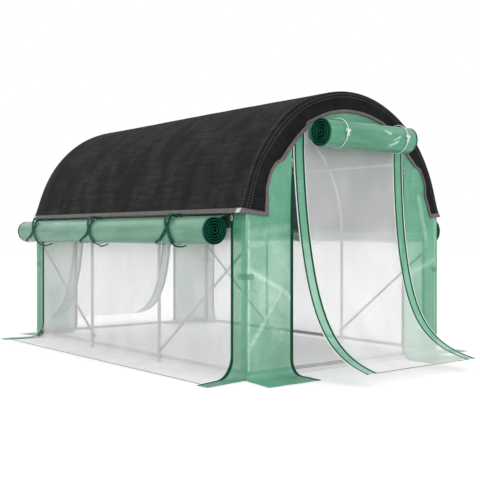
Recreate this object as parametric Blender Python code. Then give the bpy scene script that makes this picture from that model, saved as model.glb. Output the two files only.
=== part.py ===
"""A walk-in polytunnel with roll-up sides, roll-up doors, net walls and a shade cloth.

Metres, +Z up. The origin is on the ground at the centre of the tunnel. +Y runs along the tunnel to
its back end and +X to its right side, seen from the front end. The two ends are alike.
"""
import math

import bmesh
import bpy
from mathutils import Vector

# The tunnel's overall sizes
TUNNEL_LENGTH = 3.05
HOOP_RADIUS = 0.95
EAVE_Z = 0.98
ARCH_STEPS = 16
HOOPS = ("front", "mid_front", "mid_back", "back")
SIDES = {"left": -1.0, "right": 1.0}
ENDS = {"front": -1.0, "back": 1.0}

# Clearance between pieces that touch
FIT = 0.0003

# Steel tubes: width across the flats, wall, and the swaged end of an arch
TUBE = 0.025
BRACE_TUBE = 0.019
TUBE_WALL = 0.0006
TUBE_FACETS = 8
SWAGE_LENGTH = 0.05

# Foot plugs
FOOT_WIDTH = 0.036
FOOT_PLATE = 0.004
FOOT_SPIGOT = 0.025

# Heights and places of the rails, the purlins and the braces
BASE_RAIL_HEIGHT = 0.04
EAVE_RAIL_DROP = 0.03
PURLIN_STEP = 3
BRACE_LOW_HEIGHT = 0.09
BRACE_HIGH_DROP = 0.11

# Sheet materials: thickness
COVER_SHEET = 0.0008
NET_SHEET = 0.0006
SHADE_SHEET = 0.001
ROLL_SHEET = 0.001

# Corner strips of the cover, and how they run out over the ground
STRIP_WIDTH = 0.148
STRIP_CURVE = 0.15
STRIP_REACH = 0.335
STRIP_TIP_WIDTH = 0.113
STRIP_TIP_SHIFT = 0.05
CURVE_STEPS = 5

# Net side walls
NET_CURVE = 0.06
NET_REACH = 0.295

# End panels, with the doorway and the flaps on the ground
DOOR_WIDTH = 1.10
# How far the doorway's upper corners stay inside the panel's edge
DOOR_HEAD_MARGIN = 0.0565
PANEL_CURVE = 0.10
PANEL_REACH = 0.285
PANEL_OUTER_SPREAD = 0.044
PANEL_INNER_SPREAD = 0.014

# Net doors, which hang from the head of the doorway and flare outwards
NET_DOOR_LAP = 0.02
NET_DOOR_FLARE_DROP = 0.20
NET_DOOR_TIP_HEIGHT = 0.078
# The height that the flare's curve would level out at
NET_DOOR_FLOOR_HEIGHT = 0.03
NET_DOOR_REACH = 0.64
NET_DOOR_POWER = 1.25
NET_DOOR_STEPS = 10

# Shade cloth over the roof, and its valance at each end
SHADE_HEM_RISE = 0.095
VALANCE_STANDOFF = 0.0045
VALANCE_DEPTH = 0.135

# Rolled-up side walls
WALL_ROLL_RADIUS = 0.097
WALL_ROLL_CORE = 0.030
WALL_ROLL_TURNS = 5
WALL_ROLL_DROP = 0.012
WALL_ROLL_STANDOFF = 0.020
# How far a roll's front end stays behind the corner strip, and its back end inside the tunnel's end
WALL_ROLL_FRONT_GAP = 0.017
WALL_ROLL_BACK_INSET = 0.055
WALL_CURTAIN_CLEARANCE = 0.007

# Rolled-up doors
DOOR_ROLL_RADIUS = 0.097
DOOR_ROLL_CORE = 0.030
DOOR_ROLL_TURNS = 5
DOOR_ROLL_STANDOFF = 0.018
DOOR_ROLL_LENGTH = 0.89
DOOR_ROLL_SHIFT = 0.03
DOOR_CURTAIN_LAP = 0.015
DOOR_CURTAIN_CLEARANCE = 0.008
DOOR_CURTAIN_BEND_DROP = 0.015
# Where a door curtain meets its roll, in degrees below the roll's inner side
DOOR_CURTAIN_ANGLE = 35.0

# Straps that hold a rolled-up side wall, spread evenly between the first and the last
STRAP_WIDTH = 0.014
STRAP_THICKNESS = 0.002
STRAPS = ("front", "middle", "back")
STRAP_FROM_FRONT = 0.477
STRAP_FROM_BACK = 0.242

# Points in each turn of a roll, and sides of a strap's ring
TURN_STEPS = 12

# Above 1, a roll's outer turns lie closer than its inner ones
ROLL_TIGHTENING = 1.35

# Zip sliders beside the doorways
SLIDER_WIDTH = 0.010
SLIDER_DEPTH = 0.006
SLIDER_HEIGHT = 0.024
SLIDER_TAB_DEPTH = 0.002
SLIDER_TAB_DROP = 0.032
SLIDER_OFFSET = 0.014
SLIDER_DROP = 0.28

# Sizes that follow from the ones above
TUBE_APOTHEM = TUBE / 2
ARCH_STEP = math.pi / ARCH_STEPS
TURN_STEP = 2 * math.pi / TURN_STEPS
END_Y = TUNNEL_LENGTH / 2
HOOP_END_Y = END_Y - COVER_SHEET - FIT - TUBE_APOTHEM
WALL_INNER = HOOP_RADIUS + TUBE_APOTHEM + FIT
WALL_OUTER = WALL_INNER + COVER_SHEET
LEG_LOW_Z = FOOT_PLATE + FIT
PANEL_OUTLINE = HOOP_RADIUS + TUBE_APOTHEM
DOOR_HALF_WIDTH = DOOR_WIDTH / 2
DOOR_HEAD_Z = EAVE_Z + math.sqrt((PANEL_OUTLINE - DOOR_HEAD_MARGIN) ** 2 - DOOR_HALF_WIDTH ** 2)
NET_DOOR_FLARE_Z = DOOR_HEAD_Z - NET_DOOR_FLARE_DROP
SHADE_HEM_Z = EAVE_Z + SHADE_HEM_RISE
WALL_ROLL_Z = EAVE_Z - WALL_ROLL_DROP
WALL_CURTAIN_TOP_Z = SHADE_HEM_Z - WALL_CURTAIN_CLEARANCE
# A flat rail under a faceted arch meets the arch at the edges of the rail's flat
RAIL_SEAT = TUBE_APOTHEM * math.tan(math.pi / TUBE_FACETS) * math.tan(ARCH_STEP / 2) + FIT
RAIL_INSET = TUBE_APOTHEM + RAIL_SEAT + TUBE_APOTHEM

MATERIALS = {
    "powder_coated_steel": ((0.80, 0.81, 0.81), 0.40, 0.3),
    "foot_plastic": ((0.72, 0.72, 0.70), 0.50, 0.0),
    "green_cover": ((0.16, 0.43, 0.29), 0.35, 0.0),
    "green_roll": ((0.08, 0.34, 0.21), 0.30, 0.0),
    "white_net": ((0.82, 0.83, 0.82), 0.70, 0.0),
    "shade_cloth": ((0.018, 0.018, 0.018), 0.85, 0.0),
    "dark_strap": ((0.02, 0.14, 0.09), 0.60, 0.0),
    "zip_metal": ((0.70, 0.71, 0.70), 0.35, 0.6),
}


def clear_scene():
    for obj in list(bpy.data.objects):
        bpy.data.objects.remove(obj)


def material(name):
    """The named Principled material, made the first time it is asked for."""
    found = bpy.data.materials.get(name)
    if found:
        return found
    colour, roughness, metallic = MATERIALS[name]
    made = bpy.data.materials.new(name)
    made.use_nodes = True
    shader = made.node_tree.nodes["Principled BSDF"]
    shader.inputs["Base Color"].default_value = (*colour, 1.0)
    shader.inputs["Roughness"].default_value = roughness
    shader.inputs["Metallic"].default_value = metallic
    return made


def add_empty(name, place):
    """An empty that carries the pieces of one group, on the axis that they move along."""
    empty = bpy.data.objects.new(name, None)
    empty.location = place
    bpy.context.scene.collection.objects.link(empty)
    return empty


def add_object(name, bm, material_name, origin=(0, 0, 0), carrier=None, smooth=True):
    """Turn a bmesh into a named object with its material, its origin and what carries it."""
    origin = Vector(origin)
    bmesh.ops.translate(bm, verts=bm.verts, vec=-origin)
    mesh = bpy.data.meshes.new(name)
    bm.to_mesh(mesh)
    bm.free()
    if smooth:
        mesh.shade_smooth()
        mesh.set_sharp_from_angle(angle=math.radians(35))
    mesh.materials.append(material(material_name))
    obj = bpy.data.objects.new(name, mesh)
    obj.location = origin
    if carrier:
        obj.parent = carrier
        obj.location = origin - carrier.location
    bpy.context.scene.collection.objects.link(obj)
    return obj


# Steel tubes


def section_loop(bm, centre, u_axis, v_axis, apothem):
    """One loop of a tube's outline, with flats square to both of its axes."""
    radius = apothem / math.cos(math.pi / TUBE_FACETS)
    loop = []
    for k in range(TUBE_FACETS):
        angle = (k + 0.5) * 2 * math.pi / TUBE_FACETS
        across = u_axis * (radius * math.cos(angle))
        up = v_axis * (radius * math.sin(angle))
        loop.append(bm.verts.new(centre + across + up))
    return loop


def join_loops(bm, first, second):
    count = len(first)
    for k in range(count):
        after = (k + 1) % count
        bm.faces.new((first[k], first[after], second[after], second[k]))


def hollow_tube(name, stations):
    """A tube, open at both ends, through stations of (centre, two axes, outer and inner apothem)."""
    bm = bmesh.new()
    outer = [section_loop(bm, centre, u, v, wide) for centre, u, v, wide, narrow in stations]
    inner = [section_loop(bm, centre, u, v, narrow) for centre, u, v, wide, narrow in stations]
    for near, far in zip(outer, outer[1:]):
        join_loops(bm, near, far)
    for near, far in zip(inner, inner[1:]):
        join_loops(bm, near, far)
    join_loops(bm, outer[0], inner[0])
    join_loops(bm, outer[-1], inner[-1])
    bmesh.ops.recalc_face_normals(bm, faces=bm.faces)
    return add_object(name, bm, "powder_coated_steel", origin=stations[0][0])


def straight_tube(name, start, end, flat_towards, width=TUBE):
    """A straight tube with one of its flats turned to the given direction."""
    start = Vector(start)
    end = Vector(end)
    along = (end - start).normalized()
    u_axis = Vector(flat_towards).normalized()
    v_axis = along.cross(u_axis)
    outer = width / 2
    inner = outer - TUBE_WALL
    return hollow_tube(name, [(start, u_axis, v_axis, outer, inner), (end, u_axis, v_axis, outer, inner)])


def hoop_y(hoop):
    """The place of a hoop along the tunnel."""
    share = HOOPS.index(hoop) / (len(HOOPS) - 1)
    return HOOP_END_Y * (2 * share - 1)


def on_arch(radius, angle, y):
    return Vector((radius * math.cos(angle), y, EAVE_Z + radius * math.sin(angle)))


def arch_angles():
    return [k * ARCH_STEP for k in range(ARCH_STEPS + 1)]


def build_legs_and_feet():
    for hoop in HOOPS:
        y = hoop_y(hoop)
        for side, sign in SIDES.items():
            x = sign * HOOP_RADIUS
            straight_tube(f"leg_{hoop}_{side}", (x, y, LEG_LOW_Z), (x, y, EAVE_Z), (1, 0, 0))
            foot_plug(f"foot_{hoop}_{side}", x, y)


def foot_plug(name, x, y):
    """A plastic plug with a plate on the ground and a spigot up inside the leg."""
    bm = bmesh.new()
    plate = FOOT_WIDTH / 2
    spigot = TUBE_APOTHEM - TUBE_WALL - FIT
    profile = ((plate, 0.0), (plate, FOOT_PLATE), (spigot, FOOT_PLATE), (spigot, FOOT_PLATE + FOOT_SPIGOT))
    across = Vector((1, 0, 0))
    along = Vector((0, 1, 0))
    loops = [section_loop(bm, Vector((x, y, z)), across, along, apothem) for apothem, z in profile]
    for near, far in zip(loops, loops[1:]):
        join_loops(bm, near, far)
    bm.faces.new(loops[0])
    bm.faces.new(loops[-1])
    bmesh.ops.recalc_face_normals(bm, faces=bm.faces)
    add_object(name, bm, "foot_plastic", origin=(x, y, 0))


def build_arches():
    """Each arch is one bent tube whose swaged ends push down into the two legs."""
    outer = TUBE_APOTHEM
    inner = outer - TUBE_WALL
    swage_outer = inner - FIT
    swage_inner = swage_outer - TUBE_WALL
    along = Vector((0, 1, 0))
    for hoop in HOOPS:
        y = hoop_y(hoop)
        stations = []
        right = Vector((HOOP_RADIUS, y, 0))
        across = Vector((1, 0, 0))
        for z in (EAVE_Z - SWAGE_LENGTH, EAVE_Z + FIT):
            stations.append((right + Vector((0, 0, z)), across, along, swage_outer, swage_inner))
        stations.append((right + Vector((0, 0, EAVE_Z + 2 * FIT)), across, along, outer, swage_inner))
        for angle in arch_angles()[1:-1]:
            radial = Vector((math.cos(angle), 0, math.sin(angle)))
            stations.append((on_arch(HOOP_RADIUS, angle, y), radial, along, outer, inner))
        left = Vector((-HOOP_RADIUS, y, 0))
        stations.append((left + Vector((0, 0, EAVE_Z + 2 * FIT)), -across, along, outer, swage_inner))
        for z in (EAVE_Z + FIT, EAVE_Z - SWAGE_LENGTH):
            stations.append((left + Vector((0, 0, z)), -across, along, swage_outer, swage_inner))
        hollow_tube(f"arch_{hoop}", stations)


def build_rails():
    """Base rails, eave rails, the ridge rail and one purlin on each slope, all inside the hoops."""
    full = HOOP_END_Y + TUBE_APOTHEM
    between = HOOP_END_Y - TUBE_APOTHEM - FIT
    side_x = HOOP_RADIUS - TUBE - FIT
    end_x = HOOP_RADIUS - TUBE_APOTHEM - FIT
    base_z = BASE_RAIL_HEIGHT
    eave_z = EAVE_Z - EAVE_RAIL_DROP
    for side, sign in SIDES.items():
        x = sign * side_x
        straight_tube(f"base_rail_{side}", (x, -between, base_z), (x, between, base_z), (1, 0, 0))
        straight_tube(f"eave_rail_{side}", (x, -full, eave_z), (x, full, eave_z), (1, 0, 0))
        angle = PURLIN_STEP * ARCH_STEP
        radial = Vector((sign * math.cos(angle), 0, math.sin(angle)))
        foot = Vector((0, 0, EAVE_Z)) + radial * (HOOP_RADIUS - RAIL_INSET)
        reach = Vector((0, full, 0))
        straight_tube(f"purlin_{side}", foot - reach, foot + reach, radial)
    for end, sign in ENDS.items():
        y = sign * HOOP_END_Y
        straight_tube(f"base_rail_{end}", (-end_x, y, base_z), (end_x, y, base_z), (0, 1, 0))
    ridge_z = EAVE_Z + HOOP_RADIUS - RAIL_INSET
    straight_tube("ridge_rail", (0, -full, ridge_z), (0, full, ridge_z), (0, 0, 1))


def build_braces():
    """A diagonal brace in each end bay, on the inner faces of the legs."""
    x = HOOP_RADIUS - TUBE_APOTHEM - FIT - BRACE_TUBE / 2
    for end in ENDS:
        corner_y = hoop_y(end)
        inner_y = hoop_y(f"mid_{end}")
        for side, sign in SIDES.items():
            low = (sign * x, inner_y, BRACE_LOW_HEIGHT)
            high = (sign * x, corner_y, EAVE_Z - BRACE_HIGH_DROP)
            straight_tube(f"brace_{end}_{side}", low, high, (1, 0, 0), BRACE_TUBE)


# Sheets


def sheet(name, rows, thickness, material_name, keep=None, grow=1.0, origin=(0, 0, 0), carrier=None):
    """A sheet over a grid of points, made solid by growing it along (or against) its normals."""
    bm = bmesh.new()
    made = {}

    def vertex(i, j):
        if (i, j) not in made:
            made[i, j] = bm.verts.new(rows[i][j])
        return made[i, j]

    for i in range(len(rows) - 1):
        for j in range(len(rows[0]) - 1):
            if keep is None or keep(i, j):
                bm.faces.new((vertex(i, j), vertex(i, j + 1), vertex(i + 1, j + 1), vertex(i + 1, j)))
    obj = add_object(name, bm, material_name, origin, carrier)
    solid = obj.modifiers.new("thickness", "SOLIDIFY")
    solid.thickness = thickness
    solid.offset = grow
    solid.use_even_offset = True
    return obj


def run_out(curve, reach):
    """How a wall turns out onto the ground: points of (distance outwards, height), from the wall."""
    points = []
    for k in range(CURVE_STEPS + 1):
        angle = math.pi / 2 * k / CURVE_STEPS
        points.append((curve * (1 - math.cos(angle)), curve * (1 - math.sin(angle))))
    points.append((reach, 0.0))
    return points


def strip_edges(out):
    """The two edges of a corner strip, as distances outwards from the end panel, at a place on the ground."""
    share = max(0.0, out / STRIP_REACH)
    outer = STRIP_TIP_SHIFT * share
    inner = STRIP_WIDTH + (STRIP_TIP_WIDTH - STRIP_WIDTH) * share - outer
    return outer, inner


def build_roof_cover():
    """One sheet over the arches, with a strip down each corner that runs out over the ground."""
    rows = []
    ground = run_out(STRIP_CURVE, STRIP_REACH)
    for out, z in reversed(ground):
        outer, inner = strip_edges(out)
        x = WALL_INNER + out
        rows.append([(x, y, z) for y in (-END_Y - outer, -END_Y + inner, END_Y - inner, END_Y + outer)])
    breaks = (-END_Y, -END_Y + STRIP_WIDTH, END_Y - STRIP_WIDTH, END_Y)
    for angle in arch_angles():
        rows.append([on_arch(WALL_INNER, angle, y) for y in breaks])
    for out, z in ground:
        outer, inner = strip_edges(out)
        x = -WALL_INNER - out
        rows.append([(x, y, z) for y in (-END_Y - outer, -END_Y + inner, END_Y - inner, END_Y + outer)])
    first_roof = len(ground)
    last_roof = first_roof + ARCH_STEPS

    def keep(i, j):
        return j != 1 or first_roof <= i < last_roof

    sheet("roof_cover", rows, COVER_SHEET, "green_cover", keep)


def build_side_nets():
    """A net wall between the corner strips on each side, with its lower edge out over the ground."""
    for side, sign in SIDES.items():
        y_wall = END_Y - STRIP_WIDTH - FIT
        rows = [[(sign * WALL_INNER, -y_wall, EAVE_Z - FIT), (sign * WALL_INNER, y_wall, EAVE_Z - FIT)]]
        for out, z in run_out(NET_CURVE, NET_REACH):
            y = END_Y - strip_edges(max(0.0, out - STRIP_CURVE))[1] - FIT
            rows.append([(sign * (WALL_INNER + out), -y, z), (sign * (WALL_INNER + out), y, z)])
        sheet(f"side_net_{side}", rows, NET_SHEET, "white_net", grow=-sign)


def doorway_point(angle):
    """The point of the doorway's outline on a ray from the arch's centre."""
    head = DOOR_HEAD_Z - EAVE_Z
    corner = math.atan2(head, DOOR_HALF_WIDTH)
    folded = min(angle, math.pi - angle)
    side = 1.0 if angle <= math.pi / 2 else -1.0
    if abs(folded - corner) < ARCH_STEP / 2:
        return side * DOOR_HALF_WIDTH, DOOR_HEAD_Z
    if folded < corner:
        return side * DOOR_HALF_WIDTH, EAVE_Z + DOOR_HALF_WIDTH * math.tan(folded)
    return side * head / math.tan(folded), DOOR_HEAD_Z


def build_end_panels():
    """A panel over each end hoop, open at the doorway, with a flap on the ground at each side of it."""
    ground = run_out(PANEL_CURVE, PANEL_REACH)
    for end, sign in ENDS.items():
        rows = []
        for side in (1.0, -1.0):
            flap = []
            for out, z in ground:
                share = out / PANEL_REACH
                wide = PANEL_OUTLINE + PANEL_OUTER_SPREAD * share
                narrow = DOOR_HALF_WIDTH + PANEL_INNER_SPREAD * share
                y = sign * (HOOP_END_Y + TUBE_APOTHEM + FIT + out)
                flap.append([(side * wide, y, z), (side * narrow, y, z)])
            if side > 0:
                rows.extend(reversed(flap))
                y = sign * (HOOP_END_Y + TUBE_APOTHEM + FIT)
                for angle in arch_angles():
                    x, z = doorway_point(angle)
                    rows.append([on_arch(PANEL_OUTLINE, angle, y), (x, y, z)])
            else:
                rows.extend(flap)
        sheet(f"end_panel_{end}", rows, COVER_SHEET, "green_cover", grow=sign)


def build_net_doors():
    """A net door at each end, which hangs from the head of the doorway and flares outwards."""
    fall = NET_DOOR_FLARE_Z - NET_DOOR_FLOOR_HEIGHT
    ratio = (NET_DOOR_TIP_HEIGHT - NET_DOOR_FLOOR_HEIGHT) / fall
    for end, sign in ENDS.items():
        base = END_Y + FIT
        profile = [(base, DOOR_HEAD_Z + NET_DOOR_LAP)]
        for k in range(NET_DOOR_STEPS + 1):
            share = k / NET_DOOR_STEPS
            z = NET_DOOR_FLOOR_HEIGHT + fall * ratio ** share
            profile.append((base + NET_DOOR_REACH * share ** NET_DOOR_POWER, z))
        rows = [[(x, sign * y, z) for x in (-DOOR_HALF_WIDTH, DOOR_HALF_WIDTH)] for y, z in profile]
        sheet(f"net_door_{end}", rows, NET_SHEET, "white_net", grow=sign)


def build_shade_cloth():
    """A cloth over the roof, with a valance folded down over each end."""
    roof = WALL_OUTER + FIT
    end_y = END_Y + VALANCE_STANDOFF
    # The hem lies on the first facet of the arch, between the eave and the first step
    first = Vector((roof, 0, 0))
    second = Vector((roof * math.cos(ARCH_STEP), 0, roof * math.sin(ARCH_STEP)))
    hem = first.lerp(second, (SHADE_HEM_Z - EAVE_Z) / second.z)
    spots = [(hem.x, SHADE_HEM_Z, hem.x - VALANCE_DEPTH, SHADE_HEM_Z)]
    for angle in arch_angles()[1:-1]:
        inner = roof - VALANCE_DEPTH
        c = math.cos(angle)
        s = math.sin(angle)
        spots.append((roof * c, EAVE_Z + roof * s, inner * c, EAVE_Z + inner * s))
    spots.append((-hem.x, SHADE_HEM_Z, VALANCE_DEPTH - hem.x, SHADE_HEM_Z))
    rows = []
    for x, z, inner_x, inner_z in spots:
        rows.append([(inner_x, -end_y, inner_z), (x, -end_y, z), (x, end_y, z), (inner_x, end_y, inner_z)])
    sheet("shade_cloth", rows, SHADE_SHEET, "shade_cloth")


# Rolled-up walls and doors


def spiral(radius, core, turns, start):
    """Points of (inwards, down) along a roll's outer face, from its outer end to its core.

    Angles start at the side that faces the tunnel and run down under the roll.
    """
    count = turns * TURN_STEPS
    points = []
    for k in range(count + 1):
        angle = start + k * TURN_STEP
        reach = radius + (core - radius) * (k / count) ** ROLL_TIGHTENING
        points.append((reach * math.cos(angle), reach * math.sin(angle)))
    return points


def wall_roll_x():
    return WALL_OUTER + WALL_ROLL_STANDOFF + WALL_ROLL_RADIUS


def wall_roll_ends():
    """Where a side roll starts and ends along the tunnel."""
    return STRIP_WIDTH + WALL_ROLL_FRONT_GAP - END_Y, END_Y - WALL_ROLL_BACK_INSET


def strap_radii():
    """The inner and outer corners of a strap's ring, whose flats touch the roll."""
    corner = 1 / math.cos(TURN_STEP / 2)
    inner = WALL_ROLL_RADIUS + FIT
    return inner * corner, (inner + STRAP_THICKNESS) * corner


def wall_curtain_line():
    """Where a wall curtain starts at the eave, how far from the roll's axis it ends, and at what angle."""
    slope = math.tan(ARCH_STEP / 2)
    top_x = WALL_OUTER + FIT - (WALL_CURTAIN_TOP_Z - EAVE_Z) * slope
    reach = strap_radii()[1] + FIT + COVER_SHEET
    inwards = wall_roll_x() - top_x
    down = WALL_ROLL_Z - WALL_CURTAIN_TOP_Z
    angle = math.atan2(down, inwards) + math.acos(reach / math.hypot(inwards, down))
    return top_x, reach, angle


def build_wall_rolls():
    """The side walls, rolled up under the eaves, with the short stretch that each one hangs by."""
    y_start, y_end = wall_roll_ends()
    start = wall_curtain_line()[2] + TURN_STEP / 2
    for side, sign in SIDES.items():
        axis = (sign * wall_roll_x(), (y_start + y_end) / 2, WALL_ROLL_Z)
        carrier = add_empty(f"wall_roll_axis_{side}", axis)
        rows = []
        for inwards, down in spiral(WALL_ROLL_RADIUS, WALL_ROLL_CORE, WALL_ROLL_TURNS, start):
            x = sign * (wall_roll_x() - inwards)
            rows.append([(x, y, WALL_ROLL_Z - down) for y in (y_start, y_end)])
        sheet(f"wall_roll_{side}", rows, ROLL_SHEET, "green_roll", grow=-sign, origin=axis, carrier=carrier)
        build_wall_curtain(side, sign)
        build_straps(side, sign, carrier)


def build_wall_curtain(side, sign):
    """The stretch of side wall between the eave and its roll."""
    top_x, reach, angle = wall_curtain_line()
    end_x = wall_roll_x() - reach * math.cos(angle)
    end_z = WALL_ROLL_Z - reach * math.sin(angle)
    y_start = wall_roll_ends()[0]
    y_end = END_Y - STRIP_WIDTH
    profile = ((top_x, WALL_CURTAIN_TOP_Z), (end_x, end_z))
    rows = [[(sign * x, y, z) for y in (y_start, y_end)] for x, z in profile]
    sheet(f"wall_curtain_{side}", rows, COVER_SHEET, "green_cover", grow=-sign)


def build_straps(side, sign, carrier):
    """The straps round a rolled-up side wall."""
    inner, outer = strap_radii()
    start = wall_curtain_line()[2]
    y_start, y_end = wall_roll_ends()
    first = y_start + STRAP_FROM_FRONT
    pitch = (y_end - STRAP_FROM_BACK - first) / (len(STRAPS) - 1)
    for number, strap in enumerate(STRAPS):
        bm = bmesh.new()
        y = first + number * pitch
        loops = []
        for k in range(TURN_STEPS):
            angle = start + k * TURN_STEP
            corners = ((inner, 0), (outer, 0), (outer, STRAP_WIDTH), (inner, STRAP_WIDTH))
            loop = []
            for radius, along in corners:
                x = sign * (wall_roll_x() - radius * math.cos(angle))
                z = WALL_ROLL_Z - radius * math.sin(angle)
                loop.append(bm.verts.new((x, y - STRAP_WIDTH / 2 + along, z)))
            loops.append(loop)
        for near, far in zip(loops, loops[1:] + loops[:1]):
            join_loops(bm, near, far)
        bmesh.ops.recalc_face_normals(bm, faces=bm.faces)
        centre = (sign * wall_roll_x(), y, WALL_ROLL_Z)
        add_object(f"wall_strap_{strap}_{side}", bm, "dark_strap", origin=centre, carrier=carrier)


def door_roll_out():
    """How far a door roll's axis stands out from the end panel."""
    return DOOR_ROLL_STANDOFF + DOOR_ROLL_RADIUS


def door_roll_ends():
    """Where a door roll starts and ends across the doorway."""
    return DOOR_ROLL_SHIFT - DOOR_ROLL_LENGTH / 2, DOOR_ROLL_SHIFT + DOOR_ROLL_LENGTH / 2


def build_door_rolls():
    """The doors, rolled up over the doorways, with the short stretch that each one hangs by."""
    axis_z = door_curtain_line()[2]
    start = math.radians(DOOR_CURTAIN_ANGLE)
    for end, sign in ENDS.items():
        axis = (DOOR_ROLL_SHIFT, sign * (END_Y + door_roll_out()), axis_z)
        carrier = add_empty(f"door_roll_axis_{end}", axis)
        rows = []
        for inwards, down in spiral(DOOR_ROLL_RADIUS, DOOR_ROLL_CORE, DOOR_ROLL_TURNS, start):
            y = sign * (END_Y + door_roll_out() - inwards)
            rows.append([(x, y, axis_z - down) for x in door_roll_ends()])
        sheet(f"door_roll_{end}", rows, ROLL_SHEET, "green_roll", grow=sign, origin=axis, carrier=carrier)
        build_door_curtain(end, sign)


def door_curtain_line():
    """Where a door curtain bends, how far from the roll's axis it ends, and the axis's height.

    It stays behind the valance and turns out to the roll just below the valance's lower edge.
    """
    valance = (WALL_OUTER + FIT - VALANCE_DEPTH) * math.cos(ARCH_STEP / 2)
    bend_z = EAVE_Z + math.sqrt(valance ** 2 - DOOR_HALF_WIDTH ** 2) - DOOR_CURTAIN_CLEARANCE
    reach = DOOR_ROLL_RADIUS + FIT + COVER_SHEET
    axis_z = bend_z - DOOR_CURTAIN_BEND_DROP + reach * math.sin(math.radians(DOOR_CURTAIN_ANGLE))
    return bend_z, reach, axis_z


def build_door_curtain(end, sign):
    """The stretch of door between the head of the doorway and its roll."""
    base = END_Y + FIT + NET_SHEET + FIT
    bend_z, reach, axis_z = door_curtain_line()
    end_y = END_Y + door_roll_out() - reach * math.cos(math.radians(DOOR_CURTAIN_ANGLE))
    end_z = bend_z - DOOR_CURTAIN_BEND_DROP
    profile = ((base, DOOR_HEAD_Z + DOOR_CURTAIN_LAP), (base, bend_z), (end_y, end_z))
    rows = [[(x, sign * y, z) for x in door_roll_ends()] for y, z in profile]
    sheet(f"door_curtain_{end}", rows, COVER_SHEET, "green_cover", grow=sign)


def build_zip_sliders():
    """A slider with a pull tab on the zip at each side of each doorway."""
    for end, sign in ENDS.items():
        for side, hand in SIDES.items():
            near = END_Y + FIT
            low = DOOR_HEAD_Z - SLIDER_DROP
            top = low + SLIDER_HEIGHT
            body_front = near + SLIDER_DEPTH
            tab_back = body_front - SLIDER_TAB_DEPTH
            profile = (
                (near, low),
                (near, top),
                (body_front, top),
                (body_front, low - SLIDER_TAB_DROP),
                (tab_back, low - SLIDER_TAB_DROP),
                (tab_back, low),
            )
            middle = hand * (DOOR_HALF_WIDTH + SLIDER_OFFSET)
            x = middle - SLIDER_WIDTH / 2
            bm = bmesh.new()
            face = bm.faces.new([bm.verts.new((x, sign * y, z)) for y, z in profile])
            grown = bmesh.ops.extrude_face_region(bm, geom=[face])
            moved = [item for item in grown["geom"] if isinstance(item, bmesh.types.BMVert)]
            bmesh.ops.translate(bm, verts=moved, vec=(SLIDER_WIDTH, 0, 0))
            bmesh.ops.recalc_face_normals(bm, faces=bm.faces)
            place = (middle, sign * near, low)
            add_object(f"zip_slider_{end}_{side}", bm, "zip_metal", origin=place, smooth=False)


def main():
    clear_scene()
    build_legs_and_feet()
    build_arches()
    build_rails()
    build_braces()
    build_roof_cover()
    build_side_nets()
    build_end_panels()
    build_net_doors()
    build_shade_cloth()
    build_wall_rolls()
    build_door_rolls()
    build_zip_sliders()


main()
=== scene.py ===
"""The looks of a walk-in polytunnel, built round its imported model. Metres, +Z up, as the model is."""

import bisect
import math
from functools import cached_property

import bmesh
import bpy
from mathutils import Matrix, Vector, noise


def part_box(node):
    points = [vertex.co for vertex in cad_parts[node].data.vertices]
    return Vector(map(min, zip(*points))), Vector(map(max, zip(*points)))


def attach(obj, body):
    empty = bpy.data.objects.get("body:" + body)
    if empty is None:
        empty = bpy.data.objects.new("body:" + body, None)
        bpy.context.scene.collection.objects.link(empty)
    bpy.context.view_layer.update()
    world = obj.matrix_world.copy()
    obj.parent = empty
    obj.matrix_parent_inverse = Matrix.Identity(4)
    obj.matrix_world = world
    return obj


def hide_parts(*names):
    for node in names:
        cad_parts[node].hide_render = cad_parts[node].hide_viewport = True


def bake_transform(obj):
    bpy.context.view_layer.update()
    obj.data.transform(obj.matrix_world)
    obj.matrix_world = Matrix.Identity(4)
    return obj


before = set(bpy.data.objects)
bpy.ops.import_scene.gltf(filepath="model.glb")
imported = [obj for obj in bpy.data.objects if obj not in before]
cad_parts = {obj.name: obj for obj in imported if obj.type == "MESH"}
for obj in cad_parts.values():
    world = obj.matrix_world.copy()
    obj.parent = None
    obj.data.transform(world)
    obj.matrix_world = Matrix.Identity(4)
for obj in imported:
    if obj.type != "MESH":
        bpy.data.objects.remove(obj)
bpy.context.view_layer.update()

# Sizes of the frame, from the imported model
leg_low, leg_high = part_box("leg_front_left")
TUBE = leg_high.x - leg_low.x
EAVE_Z = leg_high.z
HOOP_RADIUS = -(leg_low.x + leg_high.x) / 2
HOOP_END_Y = -(leg_low.y + leg_high.y) / 2
HOOPS = ("front", "mid_front", "mid_back", "back")
SIDES = {"left": -1, "right": 1}
ENDS = {"front": -1, "back": 1}
FIT = 0.0003
FILM = 0.0008
PANEL_RADIUS = HOOP_RADIUS + TUBE / 2
WALL_X = PANEL_RADIUS + FIT
PANEL_Y = HOOP_END_Y + TUBE / 2 + FIT
END_Y = PANEL_Y + FILM
BAYS = len(HOOPS) - 1
ROOF_SAG = 0.004

# How the ends of an arch narrow and push into the legs, and how the braces and their bolts lie
ARCH_SWAGE = 0.94
ARCH_PUSH = 0.03
BRACE_TUBE = 0.019
BRACE_LOW_Z = 0.09
BRACE_HIGH_Z = 0.87
BRACE_BOLT_IN = 0.012
BRACE_BOLT_UP = 0.014
# Sides, radius, thickness and rise of a washer and of a bolt's head
BOLT_FORMS = ((20, 0.0085, 0.0014, 0.0), (6, 0.0058, 0.0048, 0.0028))
BOLT_TAPER = 0.94
FOOT_RADIUS = 0.018
FOOT_NECK_INSET = 0.0064
FOOT_PLATE = 0.004

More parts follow.
